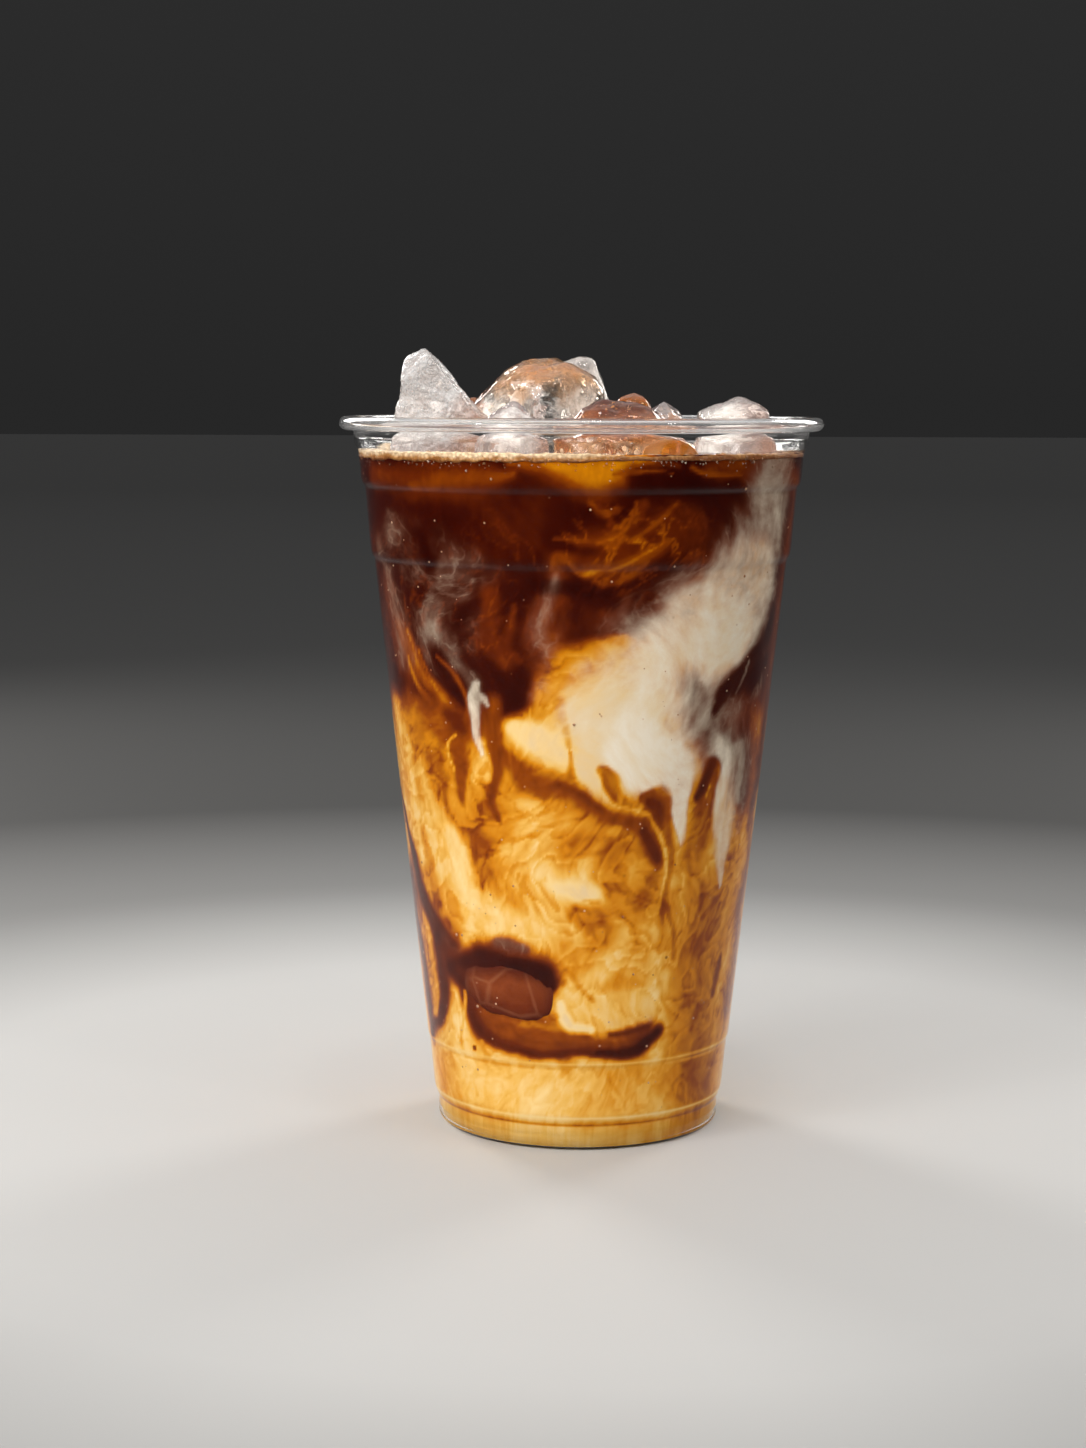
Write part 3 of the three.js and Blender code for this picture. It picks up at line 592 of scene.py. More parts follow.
def smooth_step(low, high, value):
    """0 below low, 1 above high, and the cubic 3t^2 - 2t^3 between; low may be the larger one."""
    share = np.clip((value - low) / (high - low), 0.0, 1.0)
    return share * share * (3.0 - 2.0 * share)


def gradient_noise(points, seed):
    """Smooth noise of points (n, 3): in each unit cell, the slopes of random unit vectors at the eight
    corners are blended by the quintic 6t^5 - 15t^4 + 10t^3."""
    rng = np.random.default_rng(seed)
    order = rng.permutation(256)
    slopes = rng.normal(size=(256, 3))
    slopes /= np.linalg.norm(slopes, axis=1, keepdims=True)
    cell = np.floor(points).astype(int)
    inside = points - cell
    ease = inside ** 3 * (inside * (inside * 6.0 - 15.0) + 10.0)
    total = np.zeros(len(points))
    for corner in product((0, 1), repeat=3):
        step = np.array(corner)
        key = order[(cell[:, 2] + step[2]) & 255]
        key = order[(key + cell[:, 1] + step[1]) & 255]
        key = order[(key + cell[:, 0] + step[0]) & 255]
        share = np.prod(np.where(step, ease, 1.0 - ease), axis=1)
        total += share * np.einsum("ij,ij->i", slopes[key], inside - step)
    return NOISE_GAIN * total


def fractal(points, size, octaves, seed):
    """Sum of noise about size long, each octave half the size and half the height of the one before."""
    total = np.zeros(len(points))
    for octave in range(octaves):
        total += gradient_noise(points / size * 2.0 ** octave, seed + octave) * 0.5 ** octave
    return total


def ridges(points, thinness, *shape):
    """Thin lines where noise crosses zero: (1 - thinness |noise|)^2, and 0 away from them."""
    return np.clip(1.0 - thinness * np.abs(fractal(points, *shape)), 0.0, 1.0) ** 2


def grid_faces(rows, columns, start=0):
    """Quads of a grid of rows whose columns close into a ring, from the vertex numbered start."""
    row, column = np.meshgrid(np.arange(rows - 1), np.arange(columns), indexing="ij")
    here = start + row * columns + column
    beside = start + row * columns + (column + 1) % columns
    return np.stack([here, beside, beside + columns, here + columns], axis=-1).reshape(-1, 4)


def new_piece(name, points, faces, material):
    """A smooth-shaded mesh from points in millimetres and lists of faces, riding on the one body."""
    mesh = bpy.data.meshes.new(name)
    corners = (np.asarray(points) * MM).tolist()
    mesh.from_pydata(corners, [], [face for part in faces for face in part.tolist()])
    mesh.polygons.foreach_set("use_smooth", np.ones(len(mesh.polygons), bool))
    mesh.materials.append(material)
    piece = bpy.data.objects.new(name, mesh)
    bpy.context.collection.objects.link(piece)
    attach(piece, "root")
    return piece


def paint(piece, name, values):
    """Keeps a value for each vertex, which the piece's material reads by name."""
    piece.data.attributes.new(name, "FLOAT", "POINT").data.foreach_set("value", values)


def closed_rows(rows, low, high):
    """Closed surface of a grid of rings (rows, columns, 3) from the point low to the point high, each of
    which becomes a single vertex with a fan of triangles."""
    count, columns = rows.shape[:2]
    points = np.vstack([rows.reshape(-1, 3), low, high])
    first, last = np.arange(columns), (count - 1) * columns + np.arange(columns)
    low_number, high_number = count * columns, count * columns + 1
    faces = [
        grid_faces(count, columns),
        np.stack([np.full(columns, low_number), np.roll(first, -1), first], axis=1),
        np.stack([np.full(columns, high_number), last, np.roll(last, -1)], axis=1),
    ]
    return points, faces


def round_cup(angle, distance, height):
    """Points at angles from the front, distances from the axis and heights."""
    return np.stack([distance * np.sin(angle), -distance * np.cos(angle), height], axis=-1)


def ring_points(radius, height, angles):
    """Points at each (radius, height) of a profile and each angle round +Z, as (rows, columns, 3)."""
    radius, height = np.asarray(radius)[:, None], np.asarray(height)[:, None]
    return round_cup(angles, radius, height + 0.0 * angles)


def turned(profile, angles):
    """Closed surface of a profile carried round +Z; the profile starts and ends on the axis."""
    rows = ring_points(profile[1:-1, 0], profile[1:-1, 1], angles)
    return closed_rows(rows, (0.0, 0.0, profile[0, 1]), (0.0, 0.0, profile[-1, 1]))


def even_angles(columns):
    """Angles at equal steps of a full turn, from 0."""
    return np.arange(columns) * (2.0 * pi / columns)


def unit(ways):
    """Ways divided by their length."""
    return ways / np.linalg.norm(ways, axis=-1, keepdims=True)


def sphere_ways(rows, columns):
    """Unit ways of a ball in rings from the bottom up, then straight down and straight up."""
    polar = pi * np.arange(1, rows + 1) / (rows + 1)
    rings = ring_points(np.sin(polar), -np.cos(polar), even_angles(columns))
    return np.vstack([rings.reshape(-1, 3), (0.0, 0.0, -1.0), (0.0, 0.0, 1.0)])


def closed_ball(points, rows, columns):
    """Closed surface of points in the order of sphere_ways."""
    return closed_rows(points[:-2].reshape(rows, columns, 3), points[-2], points[-1])


def repeated(faces, size, count):
    """Faces of count copies, one after another, of a shape with size vertices."""
    starts = np.arange(count)[:, None, None] * size
    return [(part[None] + starts).reshape(-1, part.shape[1]) for part in faces]


def arc(middle, radius, start, end, steps):
    """Points of a circular arc in a profile, angles in degrees."""
    angle = np.radians(np.linspace(start, end, steps))
    return np.stack([middle[0] + radius * np.cos(angle), middle[1] + radius * np.sin(angle)], axis=1)


def rounded(profile, cut=0.5, steps=4):
    """Profile with each inner corner replaced by a parabola that leaves the two sides at the distance cut
    from the corner, or at two fifths of a shorter side."""
    corner, before, after = profile[1:-1], profile[:-2], profile[2:]

    def leave(towards):
        along = towards - corner
        length = np.linalg.norm(along, axis=1, keepdims=True)
        return corner + along * np.minimum(cut / length, 0.4)

    share = np.linspace(0.0, 1.0, steps)[None, :, None]
    start, end = leave(before)[:, None], leave(after)[:, None]
    curve = start * (1 - share) ** 2 + 2 * corner[:, None] * share * (1 - share) + end * share ** 2
    return np.vstack([profile[:1], curve.reshape(-1, 2), profile[-1:]])


def spaced(profile, count):
    """Points at equal steps along a profile."""
    along = np.concatenate([[0.0], np.cumsum(np.linalg.norm(np.diff(profile, axis=0), axis=1))])
    places = np.linspace(0.0, along[-1], count)
    return np.stack([np.interp(places, along, profile[:, side]) for side in (0, 1)], axis=1)


def wall_radius(height):
    """Outside radius of the wall at a height, on straight lines between its rings."""
    return np.interp(height, WALL_RINGS[:, 0], WALL_RINGS[:, 1])


def foot_profile(inset):
    """Outline of the foot from the axis to the wall, set in by inset: raised middle, flat ring, corner."""
    corner = FOOT_CORNER - inset / 2
    middle = (FOOT_RADIUS - inset - corner, inset + corner)
    punt = [
        (0.0, PUNT_RISE + inset),
        (PUNT_RADIUS + inset / 4, PUNT_RISE + inset),
        (PUNT_RADIUS + PUNT_RISE + inset / 4, inset),
    ]
    return np.vstack([punt, arc(middle, corner, -90, 0, FOOT_STEPS)])


def wall_profile(inset, top):
    """Outline of the wall from the foot up to a height, set in by inset."""
    rings = WALL_RINGS[WALL_RINGS[:, 0] < top]
    outline = np.stack([rings[:, 1] - inset, rings[:, 0] + inset / 8], axis=1)
    return np.vstack([outline, (wall_radius(top) - inset, top)])


def make_cup(wall_material, rim_material):
    """The cup: its outside from the raised middle of the base up to the rolled bead, and back down the
    inside at the wall's thickness, carried round the axis. The roll is hollow: a ring of the same middle
    line, turned inside out. The bead and lip have the second material."""
    collar = CUP_HEIGHT - 2 * BEAD_RADIUS
    inside = wall_radius(collar) - WALL
    outside_outline = rounded(np.vstack([foot_profile(0.0), wall_profile(0.0, collar)]))
    inside_outline = rounded(np.vstack([foot_profile(WALL), wall_profile(WALL, collar)]))
    bead_middle = (RIM_RADIUS - BEAD_RADIUS, collar + BEAD_RADIUS)
    bead = arc(bead_middle, BEAD_RADIUS, -90, 90, BEAD_STEPS)
    lip = arc((inside + WALL, CUP_HEIGHT - WALL), WALL, 90, 180, LIP_STEPS)
    profile = np.vstack([outside_outline, bead, lip, inside_outline[::-1]])
    angles = even_angles(CUP_COLUMNS)
    points, faces = turned(profile, angles)
    hollow = arc(bead_middle, BEAD_RADIUS - WALL, 0, 360, HOLLOW_STEPS)
    hollow_points = ring_points(hollow[:, 0], hollow[:, 1], angles)[:-1].reshape(-1, 3)
    hollow_faces = grid_faces(HOLLOW_STEPS, CUP_COLUMNS) % len(hollow_points) + len(points)
    faces.append(hollow_faces[:, ::-1])
    cup = new_piece("cup_shell", np.vstack([points, hollow_points]), faces, wall_material)
    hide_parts("cup")
    cup.data.materials.append(rim_material)
    row = np.arange(len(cup.data.polygons)) // CUP_COLUMNS
    rim_start = len(outside_outline) - 2
    is_rim = (row >= rim_start) & (row < rim_start + len(bead) + len(lip))
    is_rim[-len(hollow_faces):] = True
    cup.data.polygons.foreach_set("material_index", is_rim.astype(int))


def on_wall(along, height):
    """Points of the unrolled wall put back round a plain cylinder, so that noise has no seam."""
    angle = along / MIDDLE_RADIUS
    return np.stack([MIDDLE_RADIUS * np.cos(angle), MIDDLE_RADIUS * np.sin(angle), height], axis=1)


def stirred(along, height, size, strength, steps, seed, waves=FLOW_WAVES):
    """Places of the unrolled wall carried back along a swirling flow: small steps along the quarter-turned
    slope of a sum of sine waves about size long, with a whole number of waves round the wall."""
    rng = np.random.default_rng(seed)
    around = np.round(rng.normal(0.0, MIDDLE_RADIUS / size, waves)) / MIDDLE_RADIUS
    upward = rng.normal(0.0, 1.0 / size, waves)
    phase = rng.uniform(0.0, 2.0 * pi, waves)
    weight = strength * np.sqrt(2.0 / waves) * size / steps
    for _ in range(steps):
        slope = weight * np.cos(np.multiply.outer(along, around) + np.multiply.outer(height, upward) + phase)
        along, height = along + slope @ upward, height - slope @ around
    return along, height


def smooth_path(points, fine=8):
    """Points of a Catmull-Rom curve through rows of (along, height, half width)."""
    path = np.vstack([2 * points[0] - points[1], points, 2 * points[-1] - points[-2]])
    before, start, end, after = (path[shift:len(path) - 3 + shift, None] for shift in range(4))
    share = np.linspace(0.0, 1.0, fine, endpoint=False)[None, :, None]
    bend = 2 * before - 5 * start + 4 * end - after
    curl = 3 * (start - end) + after - before
    curve = start + 0.5 * share * (end - before + share * (bend + share * curl))
    return np.vstack([curve.reshape(-1, 3), points[-1:]])


def brush(field, along, height, value, softness, path):
    """Brings a field towards value along a stroke: full inside (1 - softness) half widths of the stroke's
    middle line, nothing outside (1 + softness), eased between."""
    line = np.array(path, float)
    line[:, 0] = np.radians(line[:, 0]) * wall_radius(line[:, 1])
    line = smooth_path(line)
    reach = line[:, 2].max() * (1.0 + softness) + 0.5
    low, high = line[:, :2].min(axis=0) - reach, line[:, :2].max(axis=0) + reach
    near = (along > low[0]) & (along < high[0]) & (height > low[1]) & (height < high[1])
    near = np.flatnonzero(near)
    nearest = np.full(len(near), np.inf)
    for start, end in zip(line[:-1], line[1:]):
        side = end - start
        ahead, above = along[near] - start[0], height[near] - start[1]
        share = np.clip((ahead * side[0] + above * side[1]) / (side[:2] @ side[:2] + 1e-9), 0.0, 1.0)
        distance = np.hypot(ahead - share * side[0], above - share * side[1])
        nearest = np.minimum(nearest, distance / (start[2] + share * side[2]))
    cover = smooth_step(1.0 + softness, 1.0 - softness, nearest)
    field[near] += cover * (value - field[near])


def laid_strokes(angle, height):
    """Milk and cream as the strokes leave them. Black coffee turns golden downwards, and painted shade
    darkens one side. The strokes are laid twice, as seen at the front and half a turn round and a little
    higher for the back, on places bent by a slow flow and by noise. Painted lines of shade and highlight
    round the foot and the ledge come last."""
    along = angle * MIDDLE_RADIUS
    place = on_wall(along, height)
    bent_along, bent_height = stirred(along, height, *BEND_FLOW)
    shift_along = bent_along - along + BEND_REACH * fractal(place, *BEND_ALONG)
    painted_height = bent_height + BEND_REACH * fractal(place, *BEND_UP)
    milk = COFFEE_MILK + COFFEE_UNEVEN * fractal(place, *COFFEE_NOISE)
    milk += smooth_step(*GOLDEN_FROM, painted_height) * (GOLDEN_MILK - milk)
    milk += PALE_MILK * smooth_step(*PALE_FROM, painted_height)
    half_turn = np.where(angle < 0.0, -pi, pi)
    # painted shade: the golden part is darker at one side, and likewise half a turn round
    folded = np.degrees(np.where(np.abs(angle) > pi / 2, angle - half_turn, angle))
    darker, middle, reach, heights = PAINTED_SIDE_SHADE
    milk -= darker * np.exp(-((folded - middle) / reach) ** 2) * smooth_step(*heights, height)

    fields = {"milk": milk, "cream": np.zeros(len(height))}
    for turn, lift in ((0.0, 0.0), (half_turn, BACK_LIFT)):
        painted_along = (angle - turn) * wall_radius(height) + shift_along
        for name, value, softness, *path in STROKES:
            brush(fields[name], painted_along, painted_height - lift, value, softness, path)
    # painted shade and highlight: dark and light lines round the foot and round the ledge
    for line_height, half, value in SHADE_AND_HIGHLIGHT_RINGS:
        milk += smooth_step(half, 0.0, np.abs(height - line_height)) * (value - milk)
    return milk, fields["cream"]


def degrees_from(middle, angle):
    """Degrees between an angle in radians and a middle in degrees, or half a turn round from it."""
    aside = np.abs(np.degrees(angle) - middle)
    return np.minimum(aside, np.abs(aside - 180.0))


def swirl(angle, height):
    """Milk (0 black coffee, 1 white), cream over it (0 to 1) and flow places for the wall of the drink at
    angles in radians. Noise that has been carried along the flow draws out what the strokes laid: golden
    milk gets clouds, threads, veins and folds, each a slope that ends at a sharp edge; dark coffee gets
    strands; cream is broken up, and thin smoke is added to it."""
    milk, cream = laid_strokes(angle, height)
    flow = on_wall(*stirred(angle * MIDDLE_RADIUS, height, *THREAD_FLOW))
    drawn_out = flow * DRAWN_OUT
    clouds = fractal(drawn_out, *CLOUD_NOISE)
    threads = fractal(drawn_out, *THREAD_NOISE)
    folds = (FOLD_COUNT * fractal(flow, *FOLD_NOISE)) % 1.0
    folds = folds - smooth_step(FOLD_EDGE, 1.0, folds) - FOLD_MIDDLE
    grain = CLOUD_MILK * clouds + THREAD_MILK * threads + FOLD_MILK * folds
    for darker, *lines in VEINS:
        grain -= darker * ridges(drawn_out, *lines)
    golden = np.exp(-((milk - GOLDEN_MIDDLE) / GOLDEN_REACH) ** 2)
    for damping, heights in GOLDEN_DAMPED:
        golden *= 1.0 - damping * smooth_step(*heights, height)
    milk = milk + golden * grain + LOOSE_THREAD_MILK * threads

    strands = ridges(drawn_out, *STRAND_LINES) * smooth_step(*STRAND_DARK, milk)
    for middle, middle_height, round_reach, up_reach, strength in STRANDS:
        aside, above = degrees_from(middle, angle) / round_reach, (height - middle_height) / up_reach
        milk = milk + strength * np.exp(-aside ** 2 - above ** 2) * strands
    smoke = smooth_step(*SMOKE_ROUND, degrees_from(SMOKE_MIDDLE, angle))
    smoke *= smooth_step(*SMOKE_FROM, height) * smooth_step(*SMOKE_TO, height)
    veil = np.clip(0.5 + SMOKE_CONTRAST * fractal(flow, *VEIL_NOISE), 0.0, 1.0)
    broken_up = cream * (1.0 - cream) * (CREAM_THREADS * threads + CREAM_CLOUDS * clouds)
    cream = cream + broken_up + SMOKE_CREAM * smoke * veil ** 2
    return np.clip(milk, 0.0, 1.0), np.clip(cream, 0.0, 1.0), flow


def ice_planes(name):
    """Outward face normals of an ice solid, and their distances from its middle, in millimetres."""
    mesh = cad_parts[name].data
    points = np.empty(len(mesh.vertices) * 3)
    mesh.vertices.foreach_get("co", points)
    points = points.reshape(-1, 3) / MM
    normals = np.empty(len(mesh.polygons) * 3)
    mesh.polygons.foreach_get("normal", normals)
    normals = np.unique(np.round(normals.reshape(-1, 3), 3), axis=0)
    normals /= np.linalg.norm(normals, axis=1, keepdims=True)
    middle = (points.min(axis=0) + points.max(axis=0)) / 2
    return middle, normals, ((points - middle) @ normals.T).max(axis=0)


def drink_outline():
    """Outline of the drink: the cup's outline set in to the middle of its wall, from the raised base up to
    the level, then across the top to the axis."""
    side = rounded(np.vstack([foot_profile(DRINK_INSET), wall_profile(DRINK_INSET, LEVEL)]))
    foot_end = np.flatnonzero(side[:, 1] < WALL_RINGS[0, 0])[-1]
    foot = spaced(side[:foot_end + 1], FOOT_ROWS)
    wall = spaced(side[foot_end:], SIDE_ROWS)
    inward = np.linspace(0.0, 1.0, TOP_ROWS + 1)[1:] ** TOP_CROWDING
    top = np.stack([wall[-1, 0] * (1.0 - inward), np.full(TOP_ROWS, LEVEL)], axis=1)
    return np.vstack([foot, wall[1:], top])


def top_climb(points, gap, on_top):
    """How far the top of the drink climbs: an exponential of the gap to the wall and to each ice piece."""
    climb = WALL_CLIMB * np.exp(-gap / CLIMB_REACH)
    for name in ICE:
        middle, normals, distances = ice_planes(name)
        outside = ((points[on_top] - middle) @ normals.T - distances).max(axis=1)
        climb[on_top] += ICE_CLIMB * np.exp(-np.maximum(outside, 0.0) / CLIMB_REACH)
    return np.minimum(climb, CLIMB_LIMIT) * on_top


def make_drink(materials):
    """The drink: its outline carried round the axis, with a top that climbs at the wall and at the ice.
    Columns crowd towards the front, where the angle is s - c sin s. The top has the second material."""
    share = even_angles(DRINK_COLUMNS) - pi
    profile = drink_outline()
    points, faces = turned(profile, share - FRONT_CROWDING * np.sin(share))
    height = points[:, 2].copy()
    on_top = height > LEVEL - 1e-6
    gap = wall_radius(LEVEL) - DRINK_INSET - np.hypot(points[:, 0], points[:, 1])
    milk, cream, flow = swirl(np.arctan2(points[:, 0], -points[:, 1]), np.minimum(height, LEVEL))
    top_milk = TOP_MILK + TOP_UNEVEN * fractal(points, *TOP_MILK_NOISE)
    top_milk += EDGE_MILK * np.exp(-gap / EDGE_REACH)
    top_cream = TOP_CREAM + TOP_CREAM_UNEVEN * fractal(points, *TOP_CREAM_NOISE)
    top_share = on_top * smooth_step(*TOP_FROM, gap)
    milk += top_share * (np.clip(top_milk, *TOP_MILK_RANGE) - milk)
    cream += top_share * (np.clip(top_cream, *TOP_CREAM_RANGE) - cream)
    points[:, 2] += top_climb(points, gap, on_top)

    drink = new_piece("marbled_drink", points, faces, materials[0])
    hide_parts("drink")
    drink.data.materials.append(materials[1])
    last_wall_row = FOOT_ROWS + SIDE_ROWS - 3
    number = np.arange(len(drink.data.polygons))
    in_grid = number < (len(profile) - 3) * DRINK_COLUMNS
    top_fan = number >= len(number) - DRINK_COLUMNS
    is_top = (in_grid & (number // DRINK_COLUMNS >= last_wall_row)) | top_fan
    drink.data.polygons.foreach_set("material_index", is_top.astype(int))
    paint(drink, "milk", milk)
    paint(drink, "cream", cream)
    drink.data.attributes.new("flow", "FLOAT_VECTOR", "POINT").data.foreach_set("vector", flow.ravel())
    unroll(drink.data, len(profile) - 2, DRINK_COLUMNS)


def unroll(mesh, rows, columns):
    """A map for the drink's skin: the column number across and the row number up. A face that closes the
    ring ends at the right-hand edge, and the fans at the axis lie below and above the grid."""
    corner = np.empty(len(mesh.loops), int)
    mesh.loops.foreach_get("vertex_index", corner)
    sizes = np.empty(len(mesh.polygons), int)
    mesh.polygons.foreach_get("loop_total", sizes)
    face = np.repeat(np.arange(len(sizes)), sizes)
    row, column = corner // columns + 1.0, corner % columns + 0.0
    pole = corner >= rows * columns
    row[pole] = np.where(corner[pole] == rows * columns, 0.0, rows + 1.0)
    left = np.full(len(sizes), float(columns))
    np.minimum.at(left, face[~pole], column[~pole])
    right = np.zeros(len(sizes))
    np.maximum.at(right, face[~pole], column[~pole])
    wraps = right - left > 1.5
    closes = wraps[face] & ~pole & (column == left[face])
    column[closes] = columns
    column[pole] = np.where(wraps, right + 0.5, left + 0.5)[face[pole]]
    places = np.stack([column / columns, row / (rows + 1.0)], axis=1)
    mesh.uv_layers.new(name="OFBake").data.foreach_set("uv", places.ravel())


def make_ice(name, materials):
    """A piece of ice on its solid's faces: with the faces' normals n and distances d from the middle, the
    surface in the direction u lies at (sum of max(0, n.u / d)^p)^(-1/p), which is the solid with rounded
    edges. Broad dents and fine roughness, both noise, only ever cut into it."""
    slot, look, sharpness, dent, grain, swell = ICE[name]
    middle, normals, distances = ice_planes(name)
    ways = sphere_ways(ICE_ROWS, ICE_COLUMNS)
    facing = np.maximum(ways @ (normals / distances[:, None]).T, 0.0)
    reach = swell * (facing ** sharpness).sum(axis=1) ** (-1.0 / sharpness)
    place = middle + ways * reach[:, None]
    broad = np.maximum(fractal(place, *ICE_DENTS) + DENT_BIAS, 0.0)
    chips = np.abs(fractal(place, *ICE_CHIPS))
    fine = np.abs(fractal(place, *ICE_GRAIN))
    reach -= dent * (broad + CHIP_SHARE * chips) + grain * fine
    points, faces = closed_ball(middle + ways * reach[:, None], ICE_ROWS, ICE_COLUMNS)
    piece = new_piece(name + "_chunk", points, faces, materials[look])
    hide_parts(name)


def scattered_balls(name, middles, radii, material, rows=5, columns=9):
    """Many small balls as one mesh: a sphere grid put at each middle with its radius."""
    ball, ball_faces = closed_ball(sphere_ways(rows, columns), rows, columns)
    points = (middles[:, None] + ball[None] * radii[:, None, None]).reshape(-1, 3)
    new_piece(name, points, repeated(ball_faces, len(ball), len(radii)), material)


def skin_reach(ways, normals, distances):
    """How far the flat faces of an ice solid lie from its middle along unit ways."""
    return 1.0 / (ways @ (normals / distances[:, None]).T).max(axis=-1)


def stained_piece(name, points, faces, stains, material):
    """A piece inside the ice, with how stained it is at each vertex."""
    piece = new_piece(name, points, faces, material)
    paint(piece, "stain", stains)
    return piece


def make_flakes(material):
    """Cracks inside the ice: thin flakes, each a flattened ball (x^2 / a^2 + y^2 / b^2 + z^2 / c^2 = 1) that
    lies roughly along the nearest face of its piece, at a random place and small enough to stay inside."""
    rng = np.random.default_rng(FLAKE_SEED)
    ball, ball_faces = closed_ball(sphere_ways(FLAKE_ROWS, FLAKE_COLUMNS), FLAKE_ROWS, FLAKE_COLUMNS)
    all_points, all_stains = [], []
    for name, count, size, stain, lean, (nearest, furthest) in FLAKES:
        middle, normals, distances = ice_planes(name)
        way = unit(rng.normal(size=(count, 3)) + lean)
        inside = way * (skin_reach(way, normals, distances) * rng.uniform(nearest, furthest, count))[:, None]
        depth = distances - inside @ normals.T
        facing = unit(normals[depth.argmin(axis=1)] + rng.normal(0.0, FLAKE_TILT, (count, 3)))
        half = np.minimum(size * rng.uniform(*FLAKE_SIZES, count), FLAKE_ROOM * depth.min(axis=1))
        across = unit(np.cross(facing, rng.normal(size=(count, 3))))
        along = np.cross(facing, across) * rng.uniform(*FLAKE_NARROWING, count)[:, None]
        thick = facing * (FLAKE_THICKNESS / half)[:, None]
        axes = np.stack([across, along, thick], axis=1) * half[:, None, None]
        points = middle + inside[:, None] + ball[None] @ axes
        all_points.append(points.reshape(-1, 3))
        all_stains.append(np.full(count * len(ball), stain))
    points = np.vstack(all_points)
    faces = repeated(ball_faces, len(ball), len(points) // len(ball))
    stained_piece("ice_flakes", points, faces, np.concatenate(all_stains), material)


def make_clouds(material):
    """Clouds under the skin of the ice: lens-shaped shells. Rings open from the way a cloud faces out to its
    edge, which noise makes uneven, and come back below; both sides follow the skin at a share of its reach,
    and the lower side rises to meet the upper at the edge."""
    out = np.arange(1, CLOUD_ROWS + 1) / CLOUD_ROWS
    around = even_angles(CLOUD_COLUMNS)
    share_out = np.concatenate([out, out[-2::-1]])
    fading = np.append(np.repeat(1.0 - share_out[::-1] ** 2, CLOUD_COLUMNS), (1.0, 1.0))
    all_points, all_faces, all_stains = [], [[], [], []], []
    start = 0
    for number, (name, facing, opening, share, stain) in enumerate(CLOUDS):
        middle, normals, distances = ice_planes(name)
        facing = unit(np.array(facing))
        across = unit(np.cross(facing, CLOUD_ASIDE))
        along = np.cross(facing, across)
        ring = np.cos(around)[:, None] * across + np.sin(around)[:, None] * along
        wander = fractal(ring + number * CLOUD_EDGE_NOISE[0], *CLOUD_EDGE_NOISE)
        edge = radians(opening) * (1.0 + CLOUD_EDGE * wander)
        tilt = share_out[:, None] * edge
        ways = np.cos(tilt)[..., None] * facing + np.sin(tilt)[..., None] * ring
        lower = np.concatenate([np.zeros(CLOUD_ROWS), 1.0 - out[-2::-1] ** 2])[:, None]
        depth = share - CLOUD_THICKNESS * lower
        rows = middle + ways * (skin_reach(ways, normals, distances) * depth)[..., None]
        top = skin_reach(facing[None], normals, distances)[0]
        poles = [middle + facing * top * (share - thickness) for thickness in (0.0, CLOUD_THICKNESS)]
        points, faces = closed_rows(rows[::-1], poles[1], poles[0])
        for kept, part in zip(all_faces, faces):
            kept.append(part + start)
        start += len(points)
        all_points.append(points)
        all_stains.append(np.full(len(points), stain))
    faces = [np.vstack(part) for part in all_faces]
    clouds = stained_piece("ice_clouds", np.vstack(all_points), faces, np.concatenate(all_stains), material)
    paint(clouds, "cover", np.tile(fading, len(CLOUDS)))


def make_froth(material):
    """Froth round the wall: a lumpy ring whose section is an oval, flattened where it meets the wall,
    thicker at the left, with a ragged lower edge."""
    angles = even_angles(FROTH_COLUMNS)
    turn = even_angles(FROTH_SECTION)
    plain = FROTH_NOISE_RADIUS * np.stack([np.sin(angles), np.cos(angles), 0.0 * angles], axis=1)
    fullness = FROTH_FULLNESS + FROTH_UNEVEN * fractal(plain, *FULLNESS_NOISE) - FROTH_LEFT * np.sin(angles)
    fullness = np.clip(fullness, *FROTH_WIDTH_RANGE)
    ragged = 1.0 + FROTH_RAGGED * fractal(plain, *RAGGED_NOISE)
    width, depth = FROTH_WIDTH * fullness, FROTH_DEPTH * np.clip(fullness, *FROTH_DEPTH_RANGE)
    inward = np.maximum((1.0 - np.cos(turn)) / 2 - FROTH_FLAT, 0.0) / (1.0 - FROTH_FLAT)
    radius = wall_radius(FROTH_HEIGHT) - FROTH_INSET - width[None] * inward[:, None]
    rise = np.sin(turn)[:, None] / 2
    height = FROTH_HEIGHT + depth[None] * rise * np.where(rise < 0.0, ragged[None], 1.0)
    points = round_cup(angles, radius, height).reshape(-1, 3)
    is_above = np.repeat(np.sin(turn) > FROTH_LUMP_FROM, FROTH_COLUMNS)
    points[:, 2] += FROTH_LUMP * fractal(points, *LUMP_NOISE) * is_above
    faces = grid_faces(FROTH_SECTION + 1, FROTH_COLUMNS) % len(points)
    new_piece("froth_ring", points, [faces], material)


def bubble_sizes(rng, count, usual, spread, smallest, largest):
    """Random radii that are most often near the usual one and seldom much larger."""
    return np.exp(rng.normal(np.log(usual), spread, count)).clip(smallest, largest)


def make_froth_bubbles(material):
    """Bubbles of mixed sizes on the froth and beside it, more of them near the wall, and dots under it."""
    rng = np.random.default_rng(FROTH_SEED)
    count = FROTH_BUBBLES[0]
    angle = rng.uniform(-pi, pi, count)
    size = bubble_sizes(rng, *FROTH_BUBBLES)
    inward = rng.gamma(*BUBBLE_SPREAD, count) + BUBBLE_START + size
    rise = LEVEL + BUBBLE_RISE + WALL_CLIMB * np.exp(-inward / CLIMB_REACH)
    bubbles = round_cup(angle, wall_radius(FROTH_HEIGHT) - FROTH_INSET - inward, rise)
    count = FROTH_DOTS[0]
    angle = rng.uniform(-pi, pi, count)
    dot_size = bubble_sizes(rng, *FROTH_DOTS)
    rise = FROTH_HEIGHT - rng.gamma(*DOT_SPREAD, count) + DOT_START
    dots = round_cup(angle, wall_radius(rise) - DRINK_INSET, rise)
    middles, radii = np.vstack([bubbles, dots]), np.concatenate([size, dot_size])
    scattered_balls("froth_bubbles", middles, radii, material)


